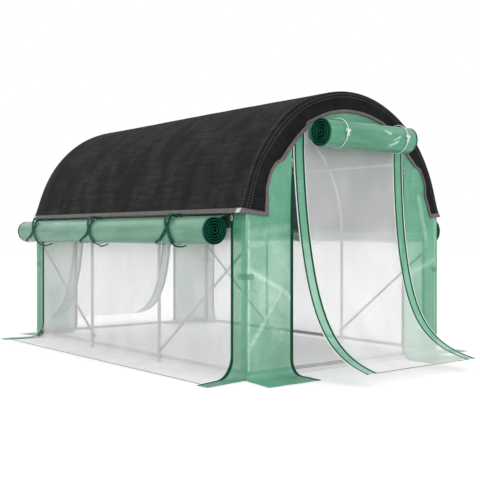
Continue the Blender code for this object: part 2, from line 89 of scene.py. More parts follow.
# Corner strips, side nets and end panels: how they run down and out over the ground
STRIP_WIDTH = 0.148
STRIP_CURVE = 0.15
STRIP_CORNER_CURVE = 0.04
STRIP_RISE = 0.105
STRIP_REACH = 0.335
STRIP_TIP_WIDTH = 0.113
STRIP_TIP_SHIFT = 0.05
NET_CURVE = 0.06
NET_REACH = 0.295
NET_HEM = 0.006
NET_OVERLAP = 0.012
PANEL_CURVE = 0.10
PANEL_CORNER_CURVE = 0.04
PANEL_REACH = 0.285
PANEL_OUTER_SPREAD = 0.044
PANEL_INNER_SPREAD = 0.014
DOOR_HALF_WIDTH = 0.55
DOOR_OVERLAP = 0.02
DOOR_HEAD_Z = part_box("net_door_front")[1].z - DOOR_OVERLAP
EDGE_TAPE = 0.026
LEG_BAND = 0.042
# How far the strips stand off the roof and the nets inside the walls, and how much the sheets ripple
STANDOFF = 0.0006
WALL_RIPPLE = 0.003
GROUND_RIPPLE = 0.004
PANEL_BILLOW = 0.004
PANEL_CREASE = 0.003
DOOR_SLACK = 0.004
# Height above the ground at which the painted shade near the ground, a deeper green that hides more of the
# floor, has faded
GROUND_SHADE_FADE = 0.07

# Bands that tie the strips and panels to the corner legs: where they start and stop from the corner
TIE_Z = 0.665
TIE_WIDTH = 0.037
TIE_LIFT = 0.002
STRIP_TIE = (0.002, 0.078)
PANEL_TIE = (0.001, 0.066)

# Folds that the packing left in an end panel, which show paler partly as the film's own whitening and partly
# as painted highlight, and at x ±0.934 a painted highlight line beside each corner: x and z of both ends,
# half width and strength
CREASE_LINES = (
    ((-0.934, 0.06), (-0.934, 1.03), 0.011, 1.0),
    ((-0.93, 0.705), (-0.65, 0.57), 0.032, 0.95),
    ((-0.65, 0.57), (-0.56, 0.50), 0.034, 0.85),
    ((-0.65, 0.57), (-0.93, 0.20), 0.030, 0.85),
    ((-0.93, 0.94), (-0.60, 0.98), 0.050, 0.35),
    ((-0.90, 0.87), (-0.60, 0.90), 0.034, 0.30),
    ((-0.82, 0.46), (-0.66, 0.30), 0.130, 0.40),
    ((-0.80, 0.56), (-0.62, 0.48), 0.150, 0.38),
    ((-0.70, 0.86), (-0.60, 0.66), 0.120, 0.28),
    ((0.934, 0.05), (0.934, 1.03), 0.010, 0.8),
    ((0.83, 0.90), (0.74, 1.22), 0.034, 0.55),
    ((0.60, 0.62), (0.92, 0.74), 0.034, 0.45),
)

# Net doors
DOOR_FLARE_DROP = 0.20
DOOR_TIP_HEIGHT = 0.082
DOOR_FLOOR_HEIGHT = 0.03
DOOR_REACH = 0.66
DOOR_POWER = 1.25
DOOR_POWER_GAIN = 0.30
DOOR_STRIP = 0.105
DOOR_STEPS = 240

# Zip sliders: sizes of the body, of the pull tab and of the bridge that holds it. These two stand out
# from the body, the tab's middle is a rise above the slider's lower end, and a rim is left round its hole
SLIDER_BODY = (0.011, 0.006, 0.018)
SLIDER_TAPER = 0.62
PULL_TAB = (0.0085, 0.0018, 0.040)
PULL_TAB_OUT = 0.0048
PULL_TAB_RISE = 0.022
PULL_TAB_RIM = 0.0026
PULL_BRIDGE = (0.0032, 0.0044, 0.010)
PULL_BRIDGE_OUT = 0.0042

# Shade cloth
SHADE_CLEAR = 0.0035
SHADE_HEM_Z = 1.075
SHADE_FLARE = 0.042
SHADE_FLARE_FADE = 0.07
SHADE_FOLD = 0.014
SHADE_BINDING = 0.033
VALANCE_BINDING = 0.026
BINDING_THICK = 0.0044
VALANCE_STANDOFF = 0.0045
VALANCE_WIDTH = 0.17
HEM_TAB = 0.043
# Rows of stitching on both sides of the shade's folded ends, and half the width of each
SEAM_ROWS = (-0.043, -0.018, 0.022, 0.044)
SEAM_HALF = 0.0035
# How deep the valance hangs, at angles in degrees round the arch from the right eave
VALANCE_DEPTHS = (
    (0.0, 0.090), (5.0, 0.092), (10.7, 0.111), (17.2, 0.128), (23.8, 0.098), (30.2, 0.098), (35.4, 0.142),
    (41.6, 0.157), (54.0, 0.146), (66.4, 0.142), (73.4, 0.149), (88.2, 0.152), (103.9, 0.152), (116.8, 0.157),
    (120.3, 0.151), (123.7, 0.176), (127.5, 0.181), (137.1, 0.190), (142.5, 0.191), (145.0, 0.188),
    (149.4, 0.154), (153.5, 0.146), (160.4, 0.151), (169.0, 0.180), (173.0, 0.188), (180.0, 0.190),
)
# Cord loops under the shade's hem: cord, height of their middles, half height and half width
HEM_LOOP_CORD = 0.0035
HEM_LOOP_Z = 1.046
HEM_LOOP_HALF_HEIGHT = 0.018
HEM_LOOP_HALF_WIDTH = 0.008

# Rolled-up side walls and doors
ROLL_RADIUS = 0.0985
ROLL_CORE = 0.009
ROLL_TURNS = 5
ROLL_TIGHTENING = 1.15
ROLL_SHEET = 0.0012
# Dents of the rolls, broad and fine, and how unevenly their layers end
ROLL_DENT = 0.0012
ROLL_FINE_DENT = 0.0009
ROLL_STEP = 0.006
# Width and thickness of the tape at the rolls' ends and of the rim over its outer turn, and how far the
# tape lies inside the roll's surface and the rim outside it
ROLL_TAPE = (0.014, 0.0056)
ROLL_RIM = (0.011, 0.0014)
ROLL_TAPE_IN = 0.003
ROLL_RIM_OUT = 0.001
WALL_ROLL_LEAD = {"left": 0.0, "right": 0.03}
# Where the outer turn starts, in degrees down from the roll's inner side
WALL_ROLL_FIRST = -62.0
DOOR_ROLL_FIRST = 35.0
# The stretches of wall and door that the rolls hang by
CURTAIN_THICK = 0.001
WALL_CURTAIN_IN = 0.0032
WALL_CURTAIN_GAP = 0.0008
WALL_CURTAIN_BULGE = 0.004
DOOR_CURTAIN_OUT = 0.0036
DOOR_CURTAIN_BEND = 0.016
# Straps round a rolled-up wall: angle from the roll's top outwards and y, and for loose ends the lift too
WALL_STRAPS = {
    "front": {
        "over": ((0, -0.860), (45, -0.895), (77, -0.945), (104, -0.972), (136, -0.963), (164, -0.926)),
        "under": ((0, -0.900), (45, -0.938), (65, -0.947), (82, -0.938), (104, -0.901), (129, -0.834),
                  (163, -0.723)),
        "low_tail": ((150, -0.948, 0.004), (164, -0.971, 0.010), (164, -1.012, 0.012), (164, -1.052, 0.009),
                     (161, -1.092, 0.002)),
        "high_tail": ((62, -0.960, 0.006), (45, -0.951, 0.006), (23, -0.932, 0.007), (16, -0.962, 0.008),
                      (16, -1.012, 0.010), (17, -1.068, 0.004)),
    },
    "middle": {
        "over": ((0, 0.245), (54, 0.181), (72, 0.151), (97, 0.127), (122, 0.124), (141, 0.138), (164, 0.158)),
        "under": ((0, 0.212), (24, 0.180), (58, 0.135), (82, 0.149), (110, 0.198), (163, 0.394)),
        "low_tail": ((150, 0.145, 0.004), (163, 0.100, 0.008), (165, 0.070, 0.020), (164, 0.006, 0.013),
                     (159, -0.062, 0.002)),
        "high_tail": ((51, 0.127, 0.006), (37, 0.136, 0.006), (15, 0.154, 0.007), (17, 0.110, 0.007),
                      (17, 0.070, 0.006), (22, 0.005, 0.004), (27, -0.052, 0.003)),
    },
    "back": {
        "over": ((0, 1.288), (12, 1.269), (56, 1.170), (82, 1.133), (114, 1.112), (147, 1.149), (164, 1.165)),
        "under": ((0, 1.205), (39, 1.142), (60, 1.120), (82, 1.136), (114, 1.202), (163, 1.403)),
        "low_tail": ((152, 1.158, 0.004), (165, 1.130, 0.015), (166, 1.035, 0.025), (165, 0.956, 0.015),
                     (168, 0.916, 0.004)),
        "high_tail": ((50, 1.128, 0.006), (37, 1.108, 0.006), (25, 1.078, 0.007), (25, 0.998, 0.005),
                      (39, 0.852, 0.003)),
    },
}
OVER_WIDTHS = (0.024, 0.030, 0.030, 0.028, 0.026, 0.024, 0.022)
UNDER_WIDTHS = (0.014, 0.018, 0.022, 0.026, 0.026, 0.024, 0.020)
TAIL_WIDTHS = {"low_tail": (0.013, 0.009), "high_tail": (0.016, 0.009)}
# How far the loose ends lie off the roll, besides their own lift, and how steeply they stand on edge
TAIL_LIFT = 0.004
TAIL_OUT = 0.002
TAIL_STAND = 75.0
STRAP_THICK = 0.0016
TAIL_THICK = 0.0018
DOOR_TIES_X = (-0.250, 0.361)
DOOR_TIE_CORD = 0.0055
DOOR_TIE_OUT = 0.0028
# Painted highlights on wrinkles of a rolled-up door: x and degrees above level at both ends, half width and
# strength
DOOR_WRINKLE_HIGHLIGHTS = (
    ((-0.20, 64), (0.09, 58), 0.007, 0.8),
    ((0.14, 24), (0.19, 12), 0.010, 0.9),
    ((0.16, 8), (0.21, 22), 0.006, 0.7),
    ((0.225, -14), (0.29, 4), 0.009, 0.8),
    ((0.20, -40), (0.27, -18), 0.014, 0.9),
)
# Half of a bow, as steps beside and above its knot: a loop and a loose end, and then the knot itself
BOW_LOOP = ((0, 0), (0.007, 0.013), (0.015, 0.019), (0.019, 0.011), (0.012, 0.003), (0, 0))
BOW_TAIL = ((0, 0), (0.006, -0.009), (0.010, -0.017), (0.010, -0.026))
BOW_KNOT = ((-0.004, -0.003), (0, 0.005), (0.004, -0.003), (0, -0.005))

# Camera: place, direction round and above the horizon in degrees, and lens
CAMERA_PLACE = (-4.365, -5.728, 0.940)
CAMERA_AZIMUTH = -38.63
CAMERA_ELEVATION = 0.40
CAMERA_LENS = 63.44
CAMERA_SENSOR = 36.0

# Soft square lamps: place, size and power
LAMPS = {
    "key_light": ((0.3, -8.0, 3.4), 3.0, 75.0),
    "left_light": ((-8.0, -1.5, 3.2), 4.0, 70.0),
    "fill_light": ((6.0, -3.0, 4.0), 4.0, 40.0),
    "back_light": ((-2.0, 7.0, 5.0), 4.0, 40.0),
}
WHITE = (1.0, 1.0, 1.0, 1.0)


# Materials


def srgb(red, green, blue):
    """A colour in the units that shaders take, from the 0 to 255 that a picture shows."""
    linear = []
    for part in (red, green, blue):
        share = part / 255
        linear.append(share / 12.92 if share <= 0.04045 else ((share + 0.055) / 1.055) ** 2.4)
    return (*linear, 1.0)


class Finish:
    """A material being made, with short calls for the nodes that its patterns need.

    A value that a call takes is a number or another node's output. A colour is such an output too, or
    its red, green and blue from 0 to 255.
    """

    def __init__(self, name, roughness, **sockets):
        self.material = bpy.data.materials.new(name)
        self.material.use_nodes = True
        self.nodes = self.material.node_tree.nodes
        self.links = self.material.node_tree.links
        self.shader = self.nodes["Principled BSDF"]
        self.set(Roughness=roughness, **sockets)

    def feed(self, socket, value):
        if isinstance(value, bpy.types.NodeSocket):
            self.links.new(value, socket)
        else:
            socket.default_value = value

    def set(self, **sockets):
        for socket, value in sockets.items():
            self.feed(self.shader.inputs[socket.replace("_", " ")], value)

    def node(self, kind, inputs, **settings):
        """The outputs of a new node with these settings and inputs."""
        node = self.nodes.new("ShaderNode" + kind)
        for setting, value in settings.items():
            setattr(node, setting, value)
        for socket, value in inputs.items():
            self.feed(node.inputs[socket], value)
        return node.outputs

    @cached_property
    def uv(self):
        """The place on the piece's own UV map, in metres."""
        return self.node("TexCoord", {})["UV"]

    @cached_property
    def place(self):
        """The place in Object coordinates, in metres."""
        return self.node("TexCoord", {})["Object"]

    @cached_property
    def ways(self):
        """The two ways of the UV map: X across the sheet and Y along it."""
        return self.node("SeparateXYZ", {0: self.uv})

    def math(self, operation, *values):
        return self.node("Math", dict(enumerate(values)), operation=operation)[0]

    def times(self, first, second):
        return self.math("MULTIPLY", first, second)

    def add(self, mark, share, base):
        """A share of a mark on top of a base."""
        return self.math("MULTIPLY_ADD", mark, share, base)

    def mix(self, share, first, second):
        first, second = (srgb(*colour) if isinstance(colour, tuple) else colour for colour in (first, second))
        return self.node("Mix", {"Factor": share, 6: first, 7: second}, data_type="RGBA")[2]

    def tint(self, base, colour, mark, share):
        """A base colour with a share of another one where a mark is."""
        return self.mix(self.times(mark, share), base, colour)

    def stretched(self, across, along):
        return self.node("Mapping", {"Vector": self.uv, "Scale": (across, along, 1.0)})[0]

    def clouds(self, vector, scale, detail=2.0, roughness=0.5, distortion=0.0):
        inputs = {"Vector": vector, "Scale": scale, "Detail": detail, "Roughness": roughness,
                  "Distortion": distortion}
        return self.node("TexNoise", inputs)["Fac"]

    def ribs(self, way, pitch):
        """A wave from 0 to 1 along one way of the UV map, with its pitch in metres."""
        turned = self.times(self.ways[way], 2 * math.pi / pitch)
        return self.add(self.math("SINE", turned), 0.5, 0.5)

    def weave(self, across, along):
        """Threads that cross, from 0 between them to 1 on their middles, with both pitches in metres."""
        return self.math("MAXIMUM", self.ribs("X", across), self.ribs("Y", along))

    def reinforcing(self):
        """The grid of thick threads in the green film."""
        return self.math("POWER", self.weave(0.0085, 0.0085), 6.0)

    def ramp(self, value, low, high, to_low=0.0, to_high=1.0):
        return self.node("MapRange", {"Value": value, "From Min": low, "From Max": high, "To Min": to_low,
                                      "To Max": to_high}, interpolation_type="SMOOTHSTEP")[0]

    def attribute(self, name):
        return self.node("Attribute", {}, attribute_name=name)["Fac"]

    def finish(self, colour, height, depth):
        """The finished material, with its colour and a relief, which is a height times a depth in metres."""
        self.set(Base_Color=colour, Normal=self.node("Bump", {"Distance": depth, "Height": height})[0])
        return self.material


def woven_film(name, deep, light, fold_highlight, see_through):
    """Woven green film with a reinforcing grid. Its folds and thin crinkle lines show paler, partly as the
    film's own whitening and partly as painted highlight, and where it lies on the ground it has painted
    shade, a deeper green that hides more of the floor.
    """
    made = Finish(name, 0.34, IOR=1.48)
    cloud = made.clouds(made.stretched(1.0, 0.6), 4.2, 4.0, 0.62, 0.4)
    threads = made.reinforcing()
    crinkle = made.clouds(made.uv, 6.0, 3.0, 0.55, 1.2)
    near_middle = made.math("ABSOLUTE", made.math("SUBTRACT", crinkle, 0.5))
    patch = made.ramp(made.clouds(made.uv, 3.3), 0.52, 0.68)
    # Thin pale crinkle lines and the panel's folds: partly the film's own whitening, partly painted highlight
    line = made.times(made.ramp(near_middle, 0.0, 0.018, 1.0, 0.0), made.times(patch, 0.35))
    patchy = made.ramp(made.clouds(made.uv, 22.0, 3.0, 0.6), 0.30, 0.68, 0.45, 1.0)
    fold = made.math("MAXIMUM", made.times(made.attribute("fold_highlight"), patchy), line)
    ground = made.attribute("ground")
    base = made.mix(made.ramp(cloud, 0.36, 0.66), deep, light)
    base = made.tint(base, light, threads, 0.22)
    # Painted shade where the film lies on the ground: a deeper green
    base = made.tint(base, deep, ground, 0.55)
    if see_through:
        cover = made.ramp(cloud, 0.30, 0.75, see_through + 0.06, see_through - 0.06)
        # Painted shade on the ground: the film there also hides more of what is behind it
        cover = made.add(ground, 0.16, cover)
        cover = made.add(made.attribute("backed"), 0.25, cover)
        made.set(Alpha=made.math("MINIMUM", made.add(threads, 0.05, cover), 1.0))
    relief = made.add(threads, 0.4, made.clouds(made.uv, 45.0))
    return made.finish(made.mix(fold, base, fold_highlight), made.add(fold, 1.5, relief), 0.0009)


def rolled_film(name, deep, light, bright):
    """The same film rolled up in many layers, with soft lengthwise wrinkles and faint ribs round it, painted
    highlights on some wrinkles, and painted shade between its layers.
    """
    made = Finish(name, 0.30, IOR=1.5)
    streaks = made.clouds(made.stretched(1.6, 26.0), 1.0, 3.0, 0.55)
    patches = made.clouds(made.stretched(1.0, 3.0), 4.0)
    threads = made.reinforcing()
    rings = made.math("POWER", made.ribs("X", 0.028), 3.0)
    ragged = made.ramp(made.clouds(made.uv, 70.0, 3.0, 0.6), 0.30, 0.62, 0.35, 1.0)
    base = made.mix(made.ramp(streaks, 0.34, 0.66), deep, light)
    base = made.mix(made.ramp(patches, 0.40, 0.75, 0.0, 0.35), base, bright)
    base = made.tint(base, bright, threads, 0.14)
    base = made.tint(base, bright, rings, 0.18)
    # Painted highlight: pale streaks along the door roll's wrinkles
    base = made.tint(base, (206, 240, 224), made.attribute("wrinkle_highlight"), ragged)
    # Painted shade between the roll's layers: its inner turns are near-black green, and so are its edges by
    # the roll's ends, which are partly the dark edge tape
    base = made.mix(made.attribute("inside"), base, (2, 36, 25))
    relief = made.add(streaks, 0.9, made.times(threads, 0.1))
    return made.finish(base, made.add(rings, 0.12, relief), 0.0022)


def insect_net():
    """Fine white net that half hides what is behind it."""
    made = Finish("white_insect_net", 0.85, IOR=1.45, Transmission_Weight=0.25, Specular_IOR_Level=0.2)
    mesh = made.weave(0.0042, 0.0042)
    cloud = made.clouds(made.stretched(1.0, 0.6), 3.0)
    made.set(Alpha=made.add(mesh, 0.05, made.ramp(cloud, 0.3, 0.7, 0.46, 0.52)))
    base = made.mix(made.ramp(cloud, 0.35, 0.7), (246, 246, 246), (252, 252, 252))
    return made.finish(base, mesh, 0.0004)


def shade_fabric():
    """Black knitted shade cloth, with dotted seams beside its folded ends, and painted shade that darkens its
    valances.
    """
    made = Finish("black_shade_cloth", 0.88, IOR=1.45, Specular_IOR_Level=0.08)
    knit = made.weave(0.0065, 0.0038)
    rows = made.clouds(made.stretched(2.0, 16.0), 2.0, 3.0, 0.65)
    mottle = made.clouds(made.stretched(1.6, 0.8), 3.2, 3.0, 0.6, 0.6)
    dots = made.math("GREATER_THAN", made.ribs("Y", 0.020), 0.35)
    tone = made.times(made.ramp(rows, 0.3, 0.7, 0.45, 1.0), made.ramp(mottle, 0.34, 0.66, 0.35, 1.0))
    base = made.mix(tone, (14, 14, 14), (53, 53, 53))
    base = made.tint(base, (70, 70, 70), made.math("POWER", knit, 4.0), 0.20)
    # Painted shade: the valances, hanging down over the ends, are painted darker than the roof part
    base = made.tint(base, (14, 14, 14), made.attribute("valance"), 0.55)
    base = made.tint(base, (112, 110, 110), made.attribute("seam"), made.times(dots, 0.35))
    return made.finish(base, made.math("ADD", made.times(knit, 0.5), made.times(rows, 1.2)), 0.0016)


def woven_tape(name, dark, light, pitch=0.004):
    """Narrow woven tape with fine ribs across it."""
    made = Finish(name, 0.6, IOR=1.45, Specular_IOR_Level=0.15)
    rib = made.ribs("Y", pitch)
    cloud = made.clouds(made.uv, 30.0, 3.0)
    tone = made.times(made.ramp(rib, 0.0, 1.0, 0.6, 1.0), made.ramp(cloud, 0.3, 0.7, 0.5, 1.0))
    return made.finish(made.mix(tone, dark, light), rib, 0.0004)


def twisted_cord():
    """White tie cord with a fine twist."""
    made = Finish("white_cord", 0.7, IOR=1.45)
    strands = made.clouds(made.place, 420.0)
    base = made.mix(made.ramp(strands, 0.4, 0.6), (224, 226, 224), (248, 248, 247))
    return made.finish(base, strands, 0.0004)


def coated_tube(name, dark, light):
    """White powder coat with fine orange peel and a few grey scuffs."""
    made = Finish(name, 0.38, IOR=1.5)
    scuffs = made.ramp(made.clouds(made.place, 38.0, 5.0, 0.7), 0.60, 0.74)
    base = made.mix(made.ramp(made.clouds(made.place, 2.5), 0.35, 0.65), dark, light)
    return made.finish(made.tint(base, (150, 152, 152), scuffs, 0.35), made.clouds(made.place, 420.0), 0.0002)


def moulded_plastic():
    """White plastic of the feet."""
    made = Finish("white_foot_plastic", 0.45, IOR=1.46)
    tone = made.ramp(made.clouds(made.place, 24.0, 4.0, 0.6), 0.35, 0.65)
    base = made.mix(tone, (206, 206, 202), (226, 226, 223))
    return made.finish(base, made.clouds(made.place, 600.0), 0.0002)


def bare_metal():
    """Zinc-plated steel for bolts and zip sliders."""
    made = Finish("zinc_plate", 0.30, Metallic=0.9)
    cloud = made.clouds(made.place, 60.0, 4.0, 0.7)
    made.set(Roughness=made.ramp(cloud, 0.3, 0.75, 0.24, 0.42))
    base = made.mix(made.ramp(cloud, 0.3, 0.7), (176, 178, 180), (212, 213, 213))
    return made.finish(base, made.clouds(made.place, 300.0), 0.0002)


# Pale green of the film's folds: partly its own whitening, partly painted highlight
PALE_GREEN = (196, 230, 212)
COVER = woven_film("green_woven_film", (90, 162, 128), (114, 186, 152), PALE_GREEN, 0.75)
# The corner strips are the same film as the panels, painted darker as painted shade on the sides that the
# lamps light less
SHADED_STRIP_FILM = woven_film("green_film_shaded_strip", (80, 146, 115), (102, 169, 138), (184, 224, 204), 0.74)
# The roof film under the black shade cloth, painted dark green as painted shade from the cloth over it
SHADED_ROOF_FILM = woven_film("green_film_painted_shade", (46, 80, 65), (58, 96, 79), (84, 122, 105), 0.9)
TIE_BAND = woven_film("green_tie_band", (84, 154, 121), (98, 168, 135), PALE_GREEN, 0.62)
CURTAIN = woven_film("green_film_two_layers", (84, 146, 118), (110, 168, 141), PALE_GREEN, 0.0)
WALL_ROLL = rolled_film("rolled_green_film", (76, 128, 103), (94, 147, 121), (112, 166, 140))
DOOR_ROLL = rolled_film("rolled_door_film", (54, 120, 92), (76, 147, 116), (98, 168, 137))
NET = insect_net()
SHADE = shade_fabric()
GREEN_TAPE = woven_tape("dark_green_tape", (2, 58, 41), (10, 82, 60))
GREY_TAPE = woven_tape("grey_binding_tape", (84, 79, 79), (118, 112, 112))
WHITE_TAPE = woven_tape("white_zip_tape", (214, 222, 218), (244, 248, 246), 0.003)
LOOP_TAPE = woven_tape("pale_loop_tape", (186, 188, 187), (214, 216, 215), 0.003)
RING_TAPE = woven_tape("roll_edge_tape", (0, 56, 40), (8, 100, 73))
STRAP = woven_tape("green_strap_webbing", (0, 62, 45), (0, 88, 65), 0.0028)
CORD = twisted_cord()
# All the tubes wear one white powder coat. The arches show its own white; the legs and rails, the purlins and
# ridge, and the braces have copies painted darker, as painted shade inside the tunnel
SHADED_COAT = coated_tube("white_powder_coat_shaded", (184, 186, 186), (198, 199, 199))
ARCH_COATED = coated_tube("bright_powder_coat", (240, 242, 242), (250, 250, 250))
LIGHTLY_SHADED_COAT = coated_tube("white_powder_coat_lightly_shaded", (214, 216, 216), (226, 227, 227))
DEEPLY_SHADED_COAT = coated_tube("white_powder_coat_deeply_shaded", (146, 148, 148), (160, 161, 161))
FOOT = moulded_plastic()
ZINC = bare_metal()


# Pieces


def add_piece(name, bm, material, slot, body="tunnel", nodes=()):
    """Turns a bmesh into a piece that rides on a body and stands for the named nodes."""
    mesh = bpy.data.meshes.new(name)
    bm.to_mesh(mesh)
    bm.free()
    mesh.shade_smooth()
    mesh.set_sharp_from_angle(angle=math.radians(50))
    mesh.materials.append(material)
    piece = bpy.data.objects.new(name, mesh)
    bpy.context.scene.collection.objects.link(piece)
    if body:
        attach(piece, body)
    if nodes:
        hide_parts(*nodes)
    return piece


class Surface:
    """A sheet of cloth: place(u, v) gives the point that lies u across and v along it, in metres."""

    def __init__(self, place, width, length):
        self.place = place
        self.width = width
        self.length = length

    def normal(self, u, v):
        step = 0.002
        u = min(max(u, step), self.width - step)
        v = min(max(v, step), self.length - step)
        across = self.place(u + step, v) - self.place(u - step, v)
        along = self.place(u, v + step) - self.place(u, v - step)
        return across.cross(along).normalized()

    def part(self, u_from, u_to, v_from=0.0, v_to=None, lift=0.0):
        """A narrower sheet that lies on this one, lifted off it by a given distance."""

        def place(u, v):
            u = u_from + u
            v = v_from + v
            point = self.place(u, v)
            return point + self.normal(u, v) * lift if lift else point

        return Surface(place, u_to - u_from, (self.length if v_to is None else v_to) - v_from)


def sheet_piece(name, surface, cells, material, slot, thick=0.0, marks=None, **where):
    """A piece over a surface, with its UV map in metres and, if asked for, a thickness."""
    bm = bmesh.new()
    uv = bm.loops.layers.uv.new("UVMap")
    layers = {mark: bm.verts.layers.float.new(mark) for mark in marks or {}}
    bmesh.ops.create_grid(bm, x_segments=cells[0], y_segments=cells[1], size=0.5)
    spots = {}
    for vert in bm.verts:
        spots[vert] = ((vert.co.x + 0.5) * surface.width, (vert.co.y + 0.5) * surface.length)
    for face in bm.faces:
        for loop in face.loops:
            loop[uv].uv = spots[loop.vert]
    for mark, layer in layers.items():
        for vert, spot in spots.items():
            vert[layer] = marks[mark](*spot)
    for vert, spot in spots.items():
        vert.co = surface.place(*spot)
    bm.normal_update()
    piece = add_piece(name, bm, material, slot, **where)
    if thick:
        solid = piece.modifiers.new("thickness", "SOLIDIFY")
        solid.thickness = thick
        solid.offset = 0.0
    return piece


def cord_piece(name, lines, width, material, body="tunnel"):
    """Thin cord along smooth lines, each a list of points and whether it closes on itself."""
    curve = bpy.data.curves.new(name, "CURVE")
    curve.dimensions = "3D"
    curve.bevel_depth = width / 2
    curve.bevel_resolution = 2
    curve.resolution_u = 5
    curve.use_fill_caps = True
    for points, closed in lines:
        spline = curve.splines.new("BEZIER")
        spline.bezier_points.add(len(points) - 1)
        for knot, point in zip(spline.bezier_points, points):
            knot.co = point
            knot.handle_left_type = "AUTO"
            knot.handle_right_type = "AUTO"
        spline.use_cyclic_u = closed
    curve.materials.append(material)
    piece = bpy.data.objects.new(name, curve)
    bpy.context.scene.collection.objects.link(piece)
    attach(piece, body)
    return piece


def ruffle(x, y, z):
    """Smooth unevenness from about -1 to 1 at a point."""
    return noise.noise(Vector((x, y, z)))


def nearness(spot, start, stop, half):
    """1 on the line between two spots, 0 at a distance half from it, and less beyond."""
    start = Vector(start)
    run = Vector(stop) - start
    along = min(max((spot - start).dot(run) / run.length_squared, 0), 1)
    return 1 - (spot - start - run * along).length / half


def smooth_line(spots, steps):
    """A curve through spots of any number of values, with a number of steps between each two of them."""
    ends = [spots[0], *spots, spots[-1]]
    line = []
    for before, start, stop, after in zip(ends, ends[1:], ends[2:], ends[3:]):
        for k in range(steps):
            t = k / steps
            line.append(tuple(
                b + 0.5 * t * (c - a + t * (2 * a - 5 * b + 4 * c - d + t * (3 * (b - c) + d - a)))
                for a, b, c, d in zip(before, start, stop, after)))
    line.append(tuple(spots[-1]))
    return line


def middle_of(node):
    low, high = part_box(node)
    return (low + high) / 2


def round_edges(bm, edges, offset):
    bmesh.ops.bevel(bm, geom=edges, offset=offset, segments=2, profile=0.5, affect="EDGES", material=-1)


def new_verts(grown):
    return [item for item in grown["geom"] if isinstance(item, bmesh.types.BMVert)]


# The frame's tubes


def round_tube(name, start, end, width, node, coat):
    """A round tube between two points, with slightly rounded ends."""
    start = Vector(start)
    end = Vector(end)
    bm = bmesh.new()
    run = end - start
    bmesh.ops.create_cone(bm, cap_ends=True, segments=24, radius1=width / 2, radius2=width / 2,
                          depth=run.length)
    rims = [edge for edge in bm.edges if any(len(face.verts) > 4 for face in edge.link_faces)]
    round_edges(bm, rims, 0.0012)
    turn = Vector((0, 0, 1)).rotation_difference(run.normalized()).to_matrix()
    bmesh.ops.rotate(bm, verts=bm.verts, cent=(0, 0, 0), matrix=turn)
    bmesh.ops.translate(bm, verts=bm.verts, vec=(start + end) / 2)
    return add_piece(name, bm, coat, "tube", nodes=[node])


def straight_tube(name, node, axis, coat=SHADED_COAT):
    """A tube in the place of a node that lies along an axis."""
    low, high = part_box(node)
    start = (low + high) / 2
    end = start.copy()
    start[axis] = low[axis]
    end[axis] = high[axis]
    return round_tube(name, start, end, TUBE, node, coat)


def hoop_y(hoop):
    return HOOP_END_Y * (2 * HOOPS.index(hoop) / BAYS - 1)


def grow_ends(bm):
    """Extrudes the open ends of a tube, and gives the new vertices."""
    ends = [edge for edge in bm.edges if edge.is_boundary]
    return new_verts(bmesh.ops.extrude_edge_only(bm, edges=ends))


def make_arch(hoop):
    """One bent tube: a circle spun half round the tunnel's axis, with its ends run down into the legs."""
    centre = Vector((0, hoop_y(hoop), EAVE_Z + 2 * FIT))
    bm = bmesh.new()
    bmesh.ops.create_circle(bm, cap_ends=False, segments=24, radius=TUBE / 2)
    bmesh.ops.translate(bm, verts=bm.verts, vec=(HOOP_RADIUS, centre.y, centre.z))
    bmesh.ops.spin(bm, geom=bm.verts[:] + bm.edges[:], cent=centre, axis=(0, -1, 0), angle=math.pi, steps=72,
                   use_merge=False)
    bmesh.ops.recalc_face_normals(bm, faces=bm.faces)
    for vert in grow_ends(bm):
        side = math.copysign(HOOP_RADIUS, vert.co.x)
        vert.co.x = side + (vert.co.x - side) * ARCH_SWAGE
        vert.co.y = centre.y + (vert.co.y - centre.y) * ARCH_SWAGE
    bmesh.ops.translate(bm, verts=grow_ends(bm), vec=(0, 0, -ARCH_PUSH))
    bmesh.ops.holes_fill(bm, edges=[edge for edge in bm.edges if edge.is_boundary])
    bmesh.ops.recalc_face_normals(bm, faces=bm.faces)
    return add_piece(f"arch_tube_{hoop}", bm, ARCH_COATED, "tube", nodes=[f"arch_{hoop}"])


def make_foot(hoop, side):
    """A moulded plug under a leg, with a rounded plate."""
    node = f"foot_{hoop}_{side}"
    middle = middle_of(node)
    top_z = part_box(node)[1].z
    bm = bmesh.new()
    bmesh.ops.create_cone(bm, cap_ends=True, segments=32, radius1=FOOT_RADIUS, radius2=FOOT_RADIUS,
                          depth=FOOT_PLATE)
    bmesh.ops.translate(bm, verts=bm.verts, vec=(middle.x, middle.y, FOOT_PLATE / 2))
    top = max(bm.faces, key=lambda face: face.calc_center_median().z)
    bmesh.ops.inset_region(bm, faces=[top], thickness=FOOT_NECK_INSET)
    grown = bmesh.ops.extrude_face_region(bm, geom=[top])
    bmesh.ops.translate(bm, verts=new_verts(grown), vec=(0, 0, top_z - FOOT_PLATE))
    bmesh.ops.delete(bm, geom=[top], context="FACES_ONLY")
    rim = [vert for vert in bm.verts if abs(vert.co.z - FOOT_PLATE) < 0.0005
           and (vert.co.xy - middle.xy).length > FOOT_RADIUS - 0.001]
    round_edges(bm, [edge for edge in bm.edges if all(vert in rim for vert in edge.verts)], 0.001)
    bmesh.ops.recalc_face_normals(bm, faces=bm.faces)
    add_piece(f"foot_plug_{hoop}_{side}", bm, FOOT, "foot", nodes=[node])


